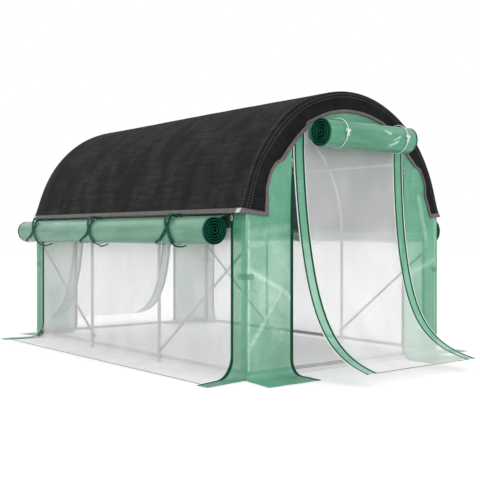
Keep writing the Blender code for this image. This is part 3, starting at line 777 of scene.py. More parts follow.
def make_frame():
    for hoop in HOOPS:
        make_arch(hoop)
        for side in SIDES:
            straight_tube(f"leg_tube_{hoop}_{side}", f"leg_{hoop}_{side}", 2)
            make_foot(hoop, side)
    # Legs and rails take the coat painted darker as shade, the purlins and ridge a copy painted a little less
    # dark
    coats = {"base_rail": SHADED_COAT, "eave_rail": SHADED_COAT, "purlin": LIGHTLY_SHADED_COAT}
    for side in SIDES:
        for rail, coat in coats.items():
            straight_tube(f"{rail}_{side}_tube", f"{rail}_{side}", 1, coat)
    straight_tube("ridge_tube", "ridge_rail", 1, LIGHTLY_SHADED_COAT)
    for end, sign in ENDS.items():
        straight_tube(f"base_tube_{end}", f"base_rail_{end}", 0)
        for side in SIDES:
            node = f"brace_{end}_{side}"
            low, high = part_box(node)
            x = (low.x + high.x) / 2
            corner_y, inner_y = (low.y, high.y) if sign < 0 else (high.y, low.y)
            round_tube(f"brace_tube_{end}_{side}", (x, inner_y, BRACE_LOW_Z), (x, corner_y, BRACE_HIGH_Z),
                       BRACE_TUBE, node, DEEPLY_SHADED_COAT)


def bolt_places():
    """Where bolt heads sit on the inner side of the rails and braces, with the way that each head faces."""
    rails = [f"{rail}_{side}" for rail in ("base_rail", "eave_rail", "purlin") for side in SIDES]
    for hoop in HOOPS:
        for rail in (*rails, "ridge_rail"):
            x, _, z = middle_of(rail)
            inwards = Vector((-x, 0, EAVE_Z - z)) if z > EAVE_Z else Vector((-x, 0, 0))
            yield Vector((x, hoop_y(hoop), z)), inwards.normalized(), TUBE / 2
    for end, way in ENDS.items():
        for side, hand in SIDES.items():
            low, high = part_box(f"brace_{end}_{side}")
            x = (low.x + high.x) / 2
            inner_y, outer_y = sorted((abs(low.y), abs(high.y)))
            for y, z in ((outer_y - BRACE_BOLT_IN, BRACE_HIGH_Z - BRACE_BOLT_UP),
                         (inner_y + BRACE_BOLT_IN, BRACE_LOW_Z + BRACE_BOLT_UP)):
                yield Vector((x, way * y, z)), Vector((-hand, 0, 0)), BRACE_TUBE / 2


def make_bolts():
    """Hexagon heads on round washers, where rails and braces are bolted to the hoops."""
    bm = bmesh.new()
    for place, faces, out in bolt_places():
        turn = Vector((0, 0, 1)).rotation_difference(faces).to_matrix()
        for sides, radius, thick, rise in BOLT_FORMS:
            made = bmesh.ops.create_cone(bm, cap_ends=True, segments=sides, radius1=radius,
                                         radius2=radius * BOLT_TAPER, depth=thick)
            bmesh.ops.rotate(bm, verts=made["verts"], cent=(0, 0, 0), matrix=turn)
            bmesh.ops.translate(bm, verts=made["verts"], vec=place + faces * (out + rise))
    add_piece("frame_bolts", bm, ZINC, "zip")


# Walls and roof


def run_down(top_z, curve, reach):
    """A wall that comes straight down, turns out on a curve and lies on the ground to its reach.

    Gives the whole length and a function from the length along it to (out, z).
    """
    straight = top_z - curve
    bend = curve * math.pi / 2
    flat = reach - curve

    def at(v):
        if v <= straight:
            return 0.0, top_z - v
        if v <= straight + bend:
            angle = (v - straight) / curve
            return curve * (1 - math.cos(angle)), curve * (1 - math.sin(angle))
        return curve + v - straight - bend, 0.0

    return straight + bend + flat, at


def bent_wall(usual, corner, reach, u):
    """The run down of a wall at a distance from its corner, where it bends more tightly."""
    curve = corner + (usual - corner) * min(1, u / STRIP_WIDTH)
    straight = EAVE_Z - usual
    usual_length = run_down(EAVE_Z, usual, reach)[0]
    length, at = run_down(EAVE_Z, curve, reach)

    def tighter(v):
        if v <= straight:
            return at(v)
        return at(straight + (v - straight) / (usual_length - straight) * (length - straight))

    return tighter


def strip_edges(out):
    """How far a corner strip's two edges lie outside and inside the tunnel's end, at a distance out."""
    share = max(0.0, out / STRIP_REACH)
    outer = STRIP_TIP_SHIFT * share
    return outer, STRIP_WIDTH + (STRIP_TIP_WIDTH - STRIP_WIDTH) * share - outer


def roof_surface():
    length = math.pi * (WALL_X + FILM / 2)

    def place(u, v):
        y = -END_Y + u
        angle = v / length * math.pi
        bay = (y + HOOP_END_Y) / (2 * HOOP_END_Y) * BAYS
        sag = ROOF_SAG * math.sin(math.pi * min(max(bay, 0), BAYS)) ** 2
        radius = WALL_X + FILM / 2 - sag
        return Vector((radius * math.cos(angle), y, EAVE_Z + radius * math.sin(angle)))

    return Surface(place, 2 * END_Y, length)


def corner_strip_surface(end, side):
    """A strip beside a corner, from under the shade's hem down the arch and leg and out over the ground."""
    hand = SIDES[side]
    way = ENDS[end]
    radius = WALL_X + FILM + STANDOFF
    length = STRIP_RISE + run_down(EAVE_Z, STRIP_CURVE, STRIP_REACH)[0]

    def place(u, v):
        if v < STRIP_RISE:
            angle = (STRIP_RISE - v) / radius
            x = hand * radius * math.cos(angle)
            return Vector((x, way * (END_Y - u), EAVE_Z + radius * math.sin(angle)))
        out, z = bent_wall(STRIP_CURVE, STRIP_CORNER_CURVE, STRIP_REACH, u)(v - STRIP_RISE)
        outer, inner = strip_edges(out)
        y = way * (END_Y + outer + (u / STRIP_WIDTH) * (-inner - outer))
        wave = WALL_RIPPLE * ruffle(u * 5, v * 2.2, 3 * hand + way) * min(1, u / 0.03)
        lift = 0.0012 + GROUND_RIPPLE * abs(ruffle(u * 6, v * 3, hand + way)) * min(1, out / 0.05)
        return Vector((hand * (radius + out + abs(wave)), y, z + (lift if out else 0)))

    return Surface(place, STRIP_WIDTH, length)


def side_net_surface(side):
    hand = SIDES[side]
    length, at = run_down(EAVE_Z, NET_CURVE, NET_REACH)
    y_wall = END_Y - STRIP_WIDTH + NET_OVERLAP

    def place(u, v):
        out, z = at(v)
        narrow = strip_edges(max(0.0, out - STRIP_CURVE))[1] - STRIP_WIDTH
        y = (u / y_wall - 1) * (y_wall - narrow)
        slack = WALL_RIPPLE * ruffle(u * 1.5, v * 2.5, hand * 5) * math.sin(math.pi * min(1, v / 0.9))
        return Vector((hand * (WALL_X - STANDOFF + out - abs(slack)), y, z + (0.0008 if out > 0.05 else 0)))

    return Surface(place, 2 * y_wall, length)


def doorway_point(angle):
    """The point of the doorway's outline on a ray from the arch's centre."""
    head = DOOR_HEAD_Z - EAVE_Z
    corner = math.atan2(head, DOOR_HALF_WIDTH)
    folded = min(angle, math.pi - angle)
    side = 1 if angle <= math.pi / 2 else -1
    if abs(folded - corner) < math.radians(0.8):
        return side * DOOR_HALF_WIDTH, DOOR_HEAD_Z
    if folded < corner:
        return side * DOOR_HALF_WIDTH, EAVE_Z + DOOR_HALF_WIDTH * math.tan(folded)
    return side * head / math.tan(folded), DOOR_HEAD_Z


def crease_at(x, z, end):
    """How far a spot of an end panel lies on the fold lines that its packing left, and on the painted
    highlight lines beside its corners, from 0 to 1.
    """
    spot = Vector((x if end == "front" else -x, z))
    best = 0.0
    for start, stop, half, strength in CREASE_LINES:
        near = nearness(spot, start, stop, half)
        if near > 0:
            best = max(best, near * near * (3 - 2 * near) * strength)
    return best


def film_marks(surface, end=None, over_leg=0.0):
    """Marks for the film: its fold lines with their painted highlight, where it lies on the ground, which
    gets painted shade, and where it lies on another layer.
    """

    def fold_highlight(u, v):
        if not end:
            return 0.0
        point = surface.place(u, v)
        return crease_at(point.x, point.z, end)

    # Near the ground the film gets painted shade, a deeper green
    def ground(u, v):
        return min(1.0, max(0.0, 1 - surface.place(u, v).z / GROUND_SHADE_FADE))

    def backed(u, v):
        point = surface.place(u, v)
        if abs(point.x) < WALL_X or abs(point.y) > END_Y + 0.001:
            return 0.0
        on_leg = 1.0 if u < over_leg else 0.0
        return max(on_leg, min(1.0, max(0.0, (point.z - EAVE_Z) / 0.02 + 0.5)))

    return {"fold_highlight": fold_highlight, "ground": ground, "backed": backed}


def end_panel_surface(end):
    """The panel round a doorway, along from the right flap's tip over the arch to the left flap's tip."""
    way = ENDS[end]
    leg = run_down(EAVE_Z, PANEL_CURVE, PANEL_REACH)[0]
    arch = math.pi * PANEL_RADIUS
    width = PANEL_RADIUS - DOOR_HALF_WIDTH

    def place(u, v):
        share = u / width
        if leg <= v <= leg + arch:
            angle = (v - leg) / PANEL_RADIUS
            wide_x = PANEL_RADIUS * math.cos(angle)
            wide_z = EAVE_Z + PANEL_RADIUS * math.sin(angle)
            narrow_x, narrow_z = doorway_point(angle)
            x = wide_x + (narrow_x - wide_x) * share
            z = wide_z + (narrow_z - wide_z) * share
            out = 0.0
        else:
            side = 1 if v < leg else -1
            at = bent_wall(PANEL_CURVE, PANEL_CORNER_CURVE, PANEL_REACH, u)
            out, z = at(leg - v if v < leg else v - leg - arch)
            spread = out / PANEL_REACH
            wide = PANEL_RADIUS + PANEL_OUTER_SPREAD * spread
            narrow = DOOR_HALF_WIDTH + PANEL_INNER_SPREAD * spread
            x = side * (wide + (narrow - wide) * share)
        billow = PANEL_BILLOW * (0.5 + 0.5 * ruffle(x * 4, z * 2.2, 3.1 * way))
        billow += PANEL_CREASE * crease_at(x, z, end)
        billow *= min(1, share * 8, (1 - share) * 8) * min(1, z / 0.1)
        lift = 0.001 + GROUND_RIPPLE * abs(ruffle(x * 9, out * 9, way)) * min(1, max(0, out - 0.05) / 0.05)
        return Vector((x, way * (PANEL_Y + FILM / 2 + out + billow), z + (lift if out else 0)))

    return Surface(place, width, 2 * leg + arch)


def make_corner_strip(end, side):
    strip = corner_strip_surface(end, side)
    name = f"corner_strip_{end}_{side}"
    piece = sheet_piece(name, strip, (24, 130), SHADED_STRIP_FILM, "cover", marks=film_marks(strip, over_leg=LEG_BAND))
    edge = strip.part(STRIP_WIDTH - EDGE_TAPE, STRIP_WIDTH)
    tie_top = STRIP_RISE + EAVE_Z - TIE_Z - TIE_WIDTH / 2
    tie = strip.part(*STRIP_TIE, tie_top, tie_top + TIE_WIDTH, TIE_LIFT * SIDES[side] * ENDS[end])
    tapes = [
        sheet_piece(f"{name}_inner_tape", edge, (3, 130), GREEN_TAPE, "cover", 0.0024),
        sheet_piece(f"{name}_tie_band", tie, (4, 3), TIE_BAND, "cover"),
    ]


def make_end_panel(end):
    panel = end_panel_surface(end)
    name = f"end_panel_sheet_{end}"
    piece = sheet_piece(name, panel, (44, 560), COVER, "cover", marks=film_marks(panel, end),
                        nodes=[f"end_panel_{end}"])
    edge = panel.part(panel.width - EDGE_TAPE, panel.width)
    parts = [sheet_piece(f"{name}_door_tape", edge, (3, 560), GREEN_TAPE, "cover", 0.0026)]
    leg = run_down(EAVE_Z, PANEL_CURVE, PANEL_REACH)[0]
    below = EAVE_Z - TIE_Z
    for side, middle in {"right": leg - below, "left": panel.length - leg + below}.items():
        tie = panel.part(*PANEL_TIE, middle - TIE_WIDTH / 2, middle + TIE_WIDTH / 2, TIE_LIFT * ENDS[end])
        parts.append(sheet_piece(f"{name}_tie_band_{side}", tie, (4, 3), TIE_BAND, "cover"))


def make_cover():
    roof = roof_surface()
    piece = sheet_piece("roof_sheet", roof, (60, 96), SHADED_ROOF_FILM, "cover", nodes=["roof_cover"])
    for end in ENDS:
        for side in SIDES:
            make_corner_strip(end, side)
    for end in ENDS:
        make_end_panel(end)


def make_nets():
    for side in SIDES:
        net = side_net_surface(side)
        piece = sheet_piece(f"side_net_sheet_{side}", net, (90, 60), NET, "net", nodes=[f"side_net_{side}"])
        edge = net.part(0, net.width, net.length - NET_HEM)
        hem = sheet_piece(f"side_net_hem_{side}", edge, (90, 1), GREY_TAPE, "net", 0.0016)


# Net doors and their zips


def net_door_surface(end):
    """A net door, from its left edge to its right one and from the doorway's head to its tip."""
    way = ENDS[end]
    flare_z = DOOR_HEAD_Z - DOOR_FLARE_DROP
    fall = flare_z - DOOR_FLOOR_HEIGHT
    ratio = (DOOR_TIP_HEIGHT - DOOR_FLOOR_HEIGHT) / fall
    shares = [0.0] + [k / DOOR_STEPS for k in range(DOOR_STEPS + 1)]
    line = [(0.0, DOOR_HEAD_Z + DOOR_OVERLAP)]
    for share in shares[1:]:
        line.append((DOOR_REACH * share ** DOOR_POWER, DOOR_FLOOR_HEIGHT + fall * ratio ** share))
    far = [0.0]
    for start, stop in zip(line, line[1:]):
        far.append(far[-1] + math.dist(start, stop))

    def place(u, v):
        k = min(max(bisect.bisect_left(far, v), 1), len(far) - 1)
        part = (v - far[k - 1]) / (far[k] - far[k - 1])
        z = line[k - 1][1] + (line[k][1] - line[k - 1][1]) * part
        share = shares[k - 1] + (shares[k] - shares[k - 1]) * part
        power = DOOR_POWER + DOOR_POWER_GAIN * u / (2 * DOOR_HALF_WIDTH)
        out = DOOR_REACH * share ** power if share > 0 else 0.0
        across = min(1, u / (2 * DOOR_HALF_WIDTH))
        slack = DOOR_SLACK * ruffle(u * 3, v * 2, 9.0) * math.sin(math.pi * across)
        slack *= min(1.0, out / 0.03)
        return Vector((-DOOR_HALF_WIDTH + u, way * (END_Y + FIT + out + slack + 0.001), z))

    return Surface(place, 2 * DOOR_HALF_WIDTH, far[-1])


def make_net_doors():
    bands = (
        ("zip", "net", 0.0, 0.007, WHITE_TAPE, 0.0030),
        ("outer_tape", "cover", 0.007, 0.022, GREEN_TAPE, 0.0026),
        ("green", "cover", 0.022, 0.083, COVER, 0.0),
        ("inner_tape", "cover", 0.083, 0.099, GREEN_TAPE, 0.0026),
        ("net_seam", "net", 0.099, DOOR_STRIP, WHITE_TAPE, 0.0020),
    )
    for end in ENDS:
        door = net_door_surface(end)
        inner = door.part(DOOR_STRIP, door.width - DOOR_STRIP)
        name = f"net_door_sheet_{end}"
        piece = sheet_piece(name, inner, (40, 110), NET, "net", nodes=[f"net_door_{end}"])
        for label, slot, low, high, material, thick in bands:
            places = {"left": (low, high), "right": (door.width - high, door.width - low)}
            for side, (start, stop) in places.items():
                band = door.part(start, stop)
                marks = film_marks(band) if label == "green" else None
                sheet_piece(f"{name}_{label}_{side}", band, (3, 110), material, slot, thick,
                                         marks)
        edge = inner.part(0, inner.width, inner.length - NET_HEM)
        sheet_piece(f"{name}_hem", edge, (20, 1), GREY_TAPE, "net", 0.0016)


def add_block(bm, size, place):
    verts = bmesh.ops.create_cube(bm, size=1.0)["verts"]
    bmesh.ops.scale(bm, verts=verts, vec=size)
    bmesh.ops.translate(bm, verts=verts, vec=place)
    return verts


def make_zip_slider(end, side):
    """A zip's slider with its pull tab, which hangs in front of the teeth."""
    node = f"zip_slider_{end}_{side}"
    low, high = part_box(node)
    way = ENDS[end]
    x, y, _ = middle_of(node)
    bm = bmesh.new()
    body_z = high.z - SLIDER_BODY[2] / 2
    for vert in add_block(bm, SLIDER_BODY, (x, y, body_z)):
        if vert.co.z < body_z:
            vert.co.x = x + (vert.co.x - x) * SLIDER_TAPER
    tab = add_block(bm, PULL_TAB, (x, y + way * PULL_TAB_OUT, low.z + PULL_TAB_RISE))
    holes = list({face for vert in tab for face in vert.link_faces if abs(face.normal.y) > 0.9})
    for face in holes:
        bmesh.ops.inset_region(bm, faces=[face], thickness=PULL_TAB_RIM)
    rims = [edge for face in holes for edge in face.edges]
    bmesh.ops.delete(bm, geom=holes, context="FACES_ONLY")
    bmesh.ops.bridge_loops(bm, edges=rims)
    add_block(bm, PULL_BRIDGE, (x, y + way * PULL_BRIDGE_OUT, high.z - PULL_BRIDGE[2]))
    round_edges(bm, [edge for edge in bm.edges if edge.calc_face_angle(0) > math.radians(60)], 0.0005)
    bmesh.ops.recalc_face_normals(bm, faces=bm.faces)
    add_piece(f"zip_pull_{end}_{side}", bm, ZINC, "zip", f"{node}_body", [node])


# Shade cloth


def valance_depth(angle):
    """How deep the valance hangs at an angle in degrees, between the named points."""
    for (a0, d0), (a1, d1) in zip(VALANCE_DEPTHS, VALANCE_DEPTHS[1:]):
        if angle <= a1:
            share = (angle - a0) / (a1 - a0)
            share = share * share * (3 - 2 * share)
            return d0 + (d1 - d0) * share
    return VALANCE_DEPTHS[-1][1]


def shade_surface():
    """The shade cloth, across from one valance's edge over the roof to the other, and along the arch.

    Gives the middle of its folds too, as a distance from each edge.
    """
    radius = WALL_X + FILM + SHADE_CLEAR
    hem_angle = math.asin((SHADE_HEM_Z - EAVE_Z) / (radius + SHADE_FLARE))
    sweep = math.pi - 2 * hem_angle
    end_y = END_Y + VALANCE_STANDOFF
    quarter = SHADE_FOLD * math.pi / 4
    flat = 2 * (end_y - SHADE_FOLD)
    width = 2 * VALANCE_WIDTH + 2 * quarter + flat

    def place(u, v):
        angle = hem_angle + v / radius
        rise = (radius + SHADE_FLARE) * math.sin(angle) - (SHADE_HEM_Z - EAVE_Z)
        outwards = SHADE_FLARE * math.exp(-max(0.0, rise) / SHADE_FLARE_FADE)
        middle = u - width / 2
        way = 1 if middle > 0 else -1
        beyond = abs(middle) - flat / 2
        slack = 0.5 + 0.5 * ruffle(u * 1.1, v * 3.4, 1.0)
        ripple = 0.0050 * slack + 0.0016 * ruffle(u * 7, v * 2.0, 7.0)
        r = radius + outwards + max(-0.002, ripple - 0.0010)
        y = abs(middle)
        if beyond > 0:
            turn = min(beyond / (2 * quarter), 1.0) * math.pi / 2
            y = flat / 2 + SHADE_FOLD * math.sin(turn)
            r -= SHADE_FOLD * (1 - math.cos(turn))
            down = beyond - 2 * quarter
            if down > 0:
                share = down / (VALANCE_WIDTH - quarter)
                deep = valance_depth(math.degrees(angle)) - SHADE_FOLD
                r -= share * (deep + outwards)
                y += 0.004 * share * (1 + ruffle(v * 5.0, share, 4.0 * way))
        return Vector((r * math.cos(angle), way * y, EAVE_Z + r * math.sin(angle)))

    return Surface(place, width, sweep * radius), width / 2 - flat / 2 - quarter


def make_shade():
    shade, edge = shade_surface()

    def seam(u, v):
        near = min(u, shade.width - u) - edge
        return 1.0 if any(abs(near - row) < SEAM_HALF for row in SEAM_ROWS) else 0.0

    # The valances are marked for painted shade: the cloth's material paints them darker
    def valance(u, v):
        return 1.0 if min(u, shade.width - u) < edge else 0.0

    piece = sheet_piece("shade_sheet", shade, (420, 220), SHADE, "shade", 0.0012,
                        marks={"seam": seam, "valance": valance}, nodes=["shade_cloth"])
    hems = {"right": (0, SHADE_BINDING), "left": (shade.length - SHADE_BINDING, shade.length)}
    ends = {"front": (0, VALANCE_BINDING), "back": (shade.width - VALANCE_BINDING, shade.width)}
    for side, (low, high) in hems.items():
        band = shade.part(0, shade.width, low, high)
        sheet_piece(f"shade_hem_{side}", band, (300, 3), GREY_TAPE, "shade", BINDING_THICK)
        for end, near in {"front": edge + 0.010, "back": shade.width - edge - 0.010 - HEM_TAB}.items():
            tab = shade.part(near, near + HEM_TAB, low + 0.001, high - 0.001, 0.0034)
            sheet_piece(f"hem_tab_{end}_{side}", tab, (6, 4), LOOP_TAPE, "shade", 0.0016)
    for end, (low, high) in ends.items():
        band = shade.part(low, high)
        sheet_piece(f"valance_binding_{end}", band, (3, 300), GREY_TAPE, "shade", BINDING_THICK)
    make_hem_loops()


def make_hem_loops():
    """A small cord loop under the shade's hem at each corner, on the corner strip's inner tape."""
    radius = WALL_X + FILM + 0.003
    middle_y = END_Y - STRIP_WIDTH + 0.014
    for end, way in ENDS.items():
        for side, hand in SIDES.items():
            ring = []
            for k in range(8):
                turn = k * math.pi / 4
                z = HEM_LOOP_Z + HEM_LOOP_HALF_HEIGHT * math.cos(turn)
                x = math.sqrt(radius ** 2 - (z - EAVE_Z) ** 2) + 0.004
                ring.append((hand * x, way * (middle_y + HEM_LOOP_HALF_WIDTH * math.sin(turn)), z))
            cord_piece(f"hem_loop_{end}_{side}", [(ring, True)], HEM_LOOP_CORD, CORD)


# Rolled-up walls and doors


def roll_surface(start, end, inwards, first, radius=ROLL_RADIUS):
    """A sheet rolled up about the line from start to end, with its layers stepped at the ends.

    Angles run down from the direction inwards, and the outer turn starts at the first.
    """
    run = end - start
    length = ROLL_TURNS * math.pi * (radius + ROLL_CORE)

    def place(u, v):
        share = v / length
        angle = first + share * ROLL_TURNS * 2 * math.pi
        r = radius + (ROLL_CORE - radius) * share ** ROLL_TIGHTENING
        dent = ROLL_DENT * ruffle(u * 2.0, math.cos(angle) * 2.2, math.sin(angle) * 2.2)
        dent += ROLL_FINE_DENT * ruffle(u * 1.1, angle * 3.5, 2.0)
        along = min(max(u / run.length, 0), 1)
        step = ROLL_STEP * ruffle(share * 7, 3.0, start.x) * (1 - 2 * along)
        r += min(0.0, dent - ROLL_DENT / 2)
        point = start + run * along + run.normalized() * step
        return point + inwards * (r * math.cos(angle)) - Vector((0, 0, r * math.sin(angle)))

    return Surface(place, run.length, length)


def wrinkle_highlight_mark(start_x, first, length):
    """Painted highlights on short wrinkles of a rolled-up door's outer side, by place along it and angle up
    from level.
    """

    def mark(u, v):
        if v > length / ROLL_TURNS:
            return 0.0
        angle = math.degrees(first + v / length * ROLL_TURNS * 2 * math.pi)
        spot = Vector((start_x + u, math.radians(angle % 360 - 180) * ROLL_RADIUS))
        best = 0.0
        for (x0, low), (x1, high), half, strength in DOOR_WRINKLE_HIGHLIGHTS:
            begin = (x0, math.radians(low) * ROLL_RADIUS)
            stop = (x1, math.radians(high) * ROLL_RADIUS)
            best = max(best, nearness(spot, begin, stop, half) * strength)
        return best

    return mark


def roll_end_tapes(name, lie, body):
    """The tape sewn along a rolled-up sheet's two ends, which shows as rings at the ends of the roll."""
    inner = roll_surface(*lie, ROLL_RADIUS - ROLL_TAPE_IN)
    outer = roll_surface(*lie, ROLL_RADIUS + ROLL_RIM_OUT)
    bands = (
        ("tape", inner, *ROLL_TAPE, inner.length, (2, 280), RING_TAPE),
        ("rim", outer, *ROLL_RIM, outer.length / ROLL_TURNS, (2, 60), GREEN_TAPE),
    )
    tapes = []
    for place in ENDS:
        for label, roll, width, thick, length, cells, material in bands:
            low = 0.0 if place == "front" else roll.width - width
            band = roll.part(low, low + width, 0.0, length)
            tapes.append(sheet_piece(f"{name}_{label}_{place}", band, cells, material, "roll", thick,
                                     body=body))
    return tapes


def make_roll(kind, label, lie, cells, material, painted_highlights=False):
    """A rolled-up wall or door, with the tape at its ends."""
    name = f"{kind}_roll"
    body = f"{name}_{label}_body"
    roll = roll_surface(*lie)

    def inside(u, v):
        """1 where the sheet's two ends and its inner turns show, and 0 elsewhere; these are painted darker,
        as painted shade between the layers, and at the ends partly as the dark edge tape.
        """
        near_end = min(u, roll.width - u) < 0.010
        return 1.0 if near_end or v > roll.length / ROLL_TURNS else 0.0

    marks = {"inside": inside}
    if painted_highlights:
        marks["wrinkle_highlight"] = wrinkle_highlight_mark(lie[0].x, lie[3], roll.length)
    piece = sheet_piece(f"{name}_sheet_{label}", roll, cells, material, "roll", ROLL_SHEET,
                        marks=marks, body=body, nodes=[f"{name}_{label}"])
    tapes = roll_end_tapes(f"{name}_{label}", lie, body)


def make_wall_rolls():
    first = math.radians(WALL_ROLL_FIRST)
    for side, hand in SIDES.items():
        node = f"wall_roll_{side}"
        low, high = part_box(node)
        x, _, z = middle_of(node)
        start = Vector((x, low.y - WALL_ROLL_LEAD[side], z))
        end = Vector((x, high.y, z))
        make_roll("wall", side, (start, end, Vector((-hand, 0, 0)), first), (120, 288), WALL_ROLL)
        make_wall_curtain(side, hand, Vector((x, 0, z)), first)
        make_wall_straps(side, hand, Vector((x, 0, z)), f"{node}_body")


def make_wall_curtain(side, hand, axis, first):
    """The stretch of side wall from the eave to its roll, made at its rolled-up length; on the tunnel it
    grows as the roll comes down.
    """
    low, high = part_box(f"wall_curtain_{side}")
    top = Vector((hand * (WALL_X + FILM - WALL_CURTAIN_IN), 0, high.z))
    meet = axis + Vector((-hand * math.cos(first), 0, -math.sin(first))) * (ROLL_RADIUS + WALL_CURTAIN_GAP)
    run = (meet - top).length
    y_low = low.y

    def place(u, v):
        share = v / run
        point = top.lerp(meet, share)
        bulge = WALL_CURTAIN_BULGE * math.sin(math.pi * share)
        return Vector((point.x + hand * bulge, y_low + u, point.z))

    curtain = Surface(place, high.y - y_low, run)
    piece = sheet_piece(f"wall_curtain_sheet_{side}", curtain, (70, 40), CURTAIN, "cover", CURTAIN_THICK,
                        body=None, nodes=[f"wall_curtain_{side}"])
    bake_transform(piece)


def wound_ribbon(axis, hand, radius, spots, stand=0.0):
    """A ribbon round a roll, through spots of angle from its top outwards, y, lift off it and width.

    It lies flat on the roll at its start, and turns to stand on its edge by an angle at its end.
    """
    points = []
    for angle, y, lift, width in smooth_line(spots, 7):
        turn = math.radians(angle)
        radial = Vector((hand * math.sin(turn), 0, math.cos(turn)))
        points.append((Vector((axis.x, y, axis.z)) + radial * (radius + lift), radial, width))
    last = len(points) - 1
    length = sum((points[k + 1][0] - points[k][0]).length for k in range(last))
    nominal = max(width for _, _, width in points)
    sides = []
    for k, (_, radial, width) in enumerate(points):
        run = points[min(k + 1, last)][0] - points[max(k - 1, 0)][0]
        flat = run.cross(radial).normalized()
        twist = stand * min(1.0, 3 * k / last)
        sides.append((flat * math.cos(twist) + radial * math.sin(twist)) * width / nominal)

    def place(u, v):
        spot = min(max(v / length, 0), 1) * last
        k = min(int(spot), last - 1)
        share = spot - k
        point = points[k][0].lerp(points[k + 1][0], share)
        return point + sides[k].lerp(sides[k + 1], share) * (u - nominal / 2)

    return Surface(place, nominal, length), last


def strap_spots(strap):
    """The two turns of a strap as one line of spots for a ribbon: first the upper turn, then the lower."""
    over = strap["over"]
    under = strap["under"]
    low_y = over[-1][1]
    spots = [(205, low_y, 0.0015, 0.020)]
    spots += [(a, y, 0.018 if a == 0 else 0.0045, w)
              for (a, y), w in zip(reversed(over), OVER_WIDTHS)]
    spots += [(-95, (over[0][1] + under[-1][1]) / 2, 0.003, 0.020)]
    spots += [(a - 360, y, 0.014 if a == 0 else 0.0015, w)
              for (a, y), w in zip(reversed(under), UNDER_WIDTHS)]
    spots += [(-455, (under[0][1] + low_y) / 2, 0.0015, 0.018), (-515, low_y, 0.0015, 0.020)]
    return spots


def make_wall_straps(side, hand, axis, body):
    """Straps wound twice round a rolled-up wall, crossed on its outer side, with two loose ends each."""
    for label, strap in WALL_STRAPS.items():
        band, cells = wound_ribbon(axis, hand, ROLL_RADIUS, strap_spots(strap))
        node = f"wall_strap_{label}_{side}"
        sheet_piece(f"{node}_band", band, (3, cells), STRAP, "strap", STRAP_THICK, body=body, nodes=[node])
        for tail, (wide, narrow) in TAIL_WIDTHS.items():
            count = len(strap[tail]) - 1
            spots = [(a, y, lift + TAIL_LIFT, wide + (narrow - wide) * k / count)
                     for k, (a, y, lift) in enumerate(strap[tail])]
            band, cells = wound_ribbon(axis, hand, ROLL_RADIUS + TAIL_OUT, spots, math.radians(TAIL_STAND))
            sheet_piece(f"{node}_{tail}", band, (2, cells), STRAP, "strap", TAIL_THICK, body=body)


def make_door_rolls():
    for end, way in ENDS.items():
        node = f"door_roll_{end}"
        low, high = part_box(node)
        _, y, z = middle_of(node)
        start = Vector((low.x, y, z))
        stop = Vector((high.x, y, z))
        lie = (start, stop, Vector((0, -way, 0)), math.radians(DOOR_ROLL_FIRST))
        make_roll("door", end, lie, (100, 300), DOOR_ROLL, painted_highlights=True)
        make_door_curtain(end, way)
        make_door_ties(end, way, Vector((0, y, z)), f"{node}_body")


def make_door_curtain(end, way):
    """The stretch of door from the doorway's head to its roll, made at its rolled-up length; on the tunnel it
    grows as the roll comes down.
    """
    low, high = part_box(f"door_curtain_{end}")
    base_y = END_Y + DOOR_CURTAIN_OUT
    bend_z = low.z + DOOR_CURTAIN_BEND
    tip_y = max(abs(low.y), abs(high.y)) - 0.0005
    straight = high.z - bend_z
    slant = math.hypot(tip_y - base_y, bend_z - low.z)

    def place(u, v):
        if v < straight:
            y, z = base_y, high.z - v
        else:
            share = (v - straight) / slant
            y = base_y + (tip_y - base_y) * share
            z = bend_z + (low.z - bend_z) * share
        return Vector((low.x + u, way * y, z))

    curtain = Surface(place, high.x - low.x, straight + slant)
    piece = sheet_piece(f"door_curtain_sheet_{end}", curtain, (50, 40), CURTAIN, "cover", CURTAIN_THICK,
                        body=None, nodes=[f"door_curtain_{end}"])
    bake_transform(piece)


def make_door_ties(end, way, axis, body):
    """White cords round a rolled-up door, each tied in a bow on its outer side."""
    radius = ROLL_RADIUS + DOOR_TIE_OUT

    def on_roll(x, rise, lift=0.0):
        turn = rise / radius
        out = radius + lift
        return (x, axis.y + way * out * math.cos(turn), axis.z + out * math.sin(turn))

    for number, x in enumerate(DOOR_TIES_X, 1):
        ring = [on_roll(x + 0.003 * math.sin(k * math.pi / 4), k * math.pi / 8 * radius) for k in range(16)]
        lines = [(ring, True)]
        for hand in (-1, 1):
            for half, lift in ((BOW_LOOP, 0.003), (BOW_TAIL, 0.002)):
                lines.append(([on_roll(x + hand * dx, dz, lift) for dx, dz in half], False))
        lines.append(([on_roll(x + dx, dz, 0.005) for dx, dz in BOW_KNOT], True))
        cord_piece(f"door_tie_{end}_{number}", lines, DOOR_TIE_CORD, CORD, body)


# Studio


def make_camera():
    azimuth = math.radians(CAMERA_AZIMUTH)
    elevation = math.radians(CAMERA_ELEVATION)
    back = Vector((math.sin(azimuth) * math.cos(elevation), -math.cos(azimuth) * math.cos(elevation),
                   math.sin(elevation)))
    data = bpy.data.cameras.new("camera")
    data.lens = CAMERA_LENS
    data.sensor_width = CAMERA_SENSOR
    bpy.context.scene.camera = aimed("camera", data, CAMERA_PLACE, -back)


def aimed(name, data, place, aim):
    """A camera or lamp that stands at a place and looks in a direction."""
    thing = bpy.data.objects.new(name, data)
    thing.location = place
    thing.rotation_mode = "QUATERNION"
    thing.rotation_quaternion = aim.to_track_quat("-Z", "Y")
    bpy.context.scene.collection.objects.link(thing)
    return thing


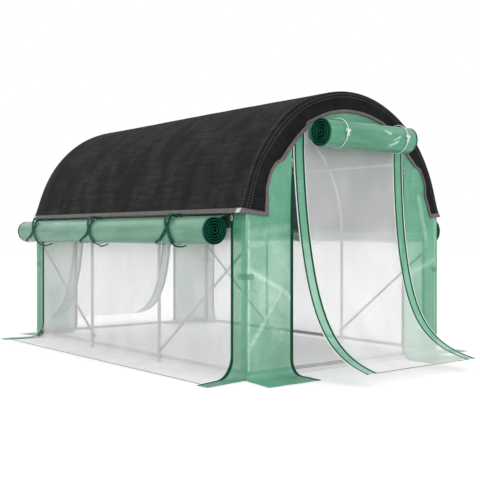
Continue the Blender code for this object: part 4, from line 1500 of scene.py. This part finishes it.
def make_lamps():
    """The lamps, which face the middle of the tunnel."""
    for name, (place, size, power) in LAMPS.items():
        data = bpy.data.lights.new(name, "AREA")
        data.size = size
        data.energy = power
        aimed(name, data, place, Vector((0, 0, 0.9)) - Vector(place))


def seen_directly(nodes, links):
    """1 for rays from the camera or through gloss and glass, which see the white background."""
    path = nodes.new("ShaderNodeLightPath")
    most = path.outputs["Is Camera Ray"]
    for kind in ("Is Glossy Ray", "Is Transmission Ray"):
        node = nodes.new("ShaderNodeMath")
        node.operation = "MAXIMUM"
        links.new(most, node.inputs[0])
        links.new(path.outputs[kind], node.inputs[1])
        most = node.outputs[0]
    return most


def make_world():
    world = bpy.data.worlds.new("studio")
    bpy.context.scene.world = world
    world.use_nodes = True
    nodes = world.node_tree.nodes
    links = world.node_tree.links
    both = nodes.new("ShaderNodeMixShader")
    links.new(seen_directly(nodes, links), both.inputs[0])
    for number, light in enumerate((nodes["Background"], nodes.new("ShaderNodeBackground")), 1):
        light.inputs["Color"].default_value = WHITE
        light.inputs["Strength"].default_value = 1.0
        links.new(light.outputs[0], both.inputs[number])
    links.new(both.outputs[0], nodes["World Output"].inputs["Surface"])


def make_floor():
    """A pale floor that shows white where nothing shades it."""
    bm = bmesh.new()
    bmesh.ops.create_grid(bm, x_segments=1, y_segments=1, size=30.0)
    bmesh.ops.translate(bm, verts=bm.verts, vec=(0, 0, -0.0015))
    mesh = bpy.data.meshes.new("studio_floor")
    bm.to_mesh(mesh)
    bm.free()
    made = Finish("studio_floor", 0.9, Base_Color=(0.86, 0.86, 0.86, 1.0), Specular_IOR_Level=0.0,
                  Emission_Color=WHITE)
    made.set(Emission_Strength=made.times(seen_directly(made.nodes, made.links), 0.25))
    mesh.materials.append(made.material)
    floor = bpy.data.objects.new("studio_floor", mesh)
    bpy.context.scene.collection.objects.link(floor)


def make_studio():
    bpy.context.scene.view_settings.view_transform = "Standard"
    make_camera()
    make_world()
    make_floor()
    make_lamps()


make_studio()
make_frame()
make_bolts()
make_cover()
make_nets()
make_net_doors()
for end in ENDS:
    for side in SIDES:
        make_zip_slider(end, side)
make_shade()
make_wall_rolls()
make_door_rolls()
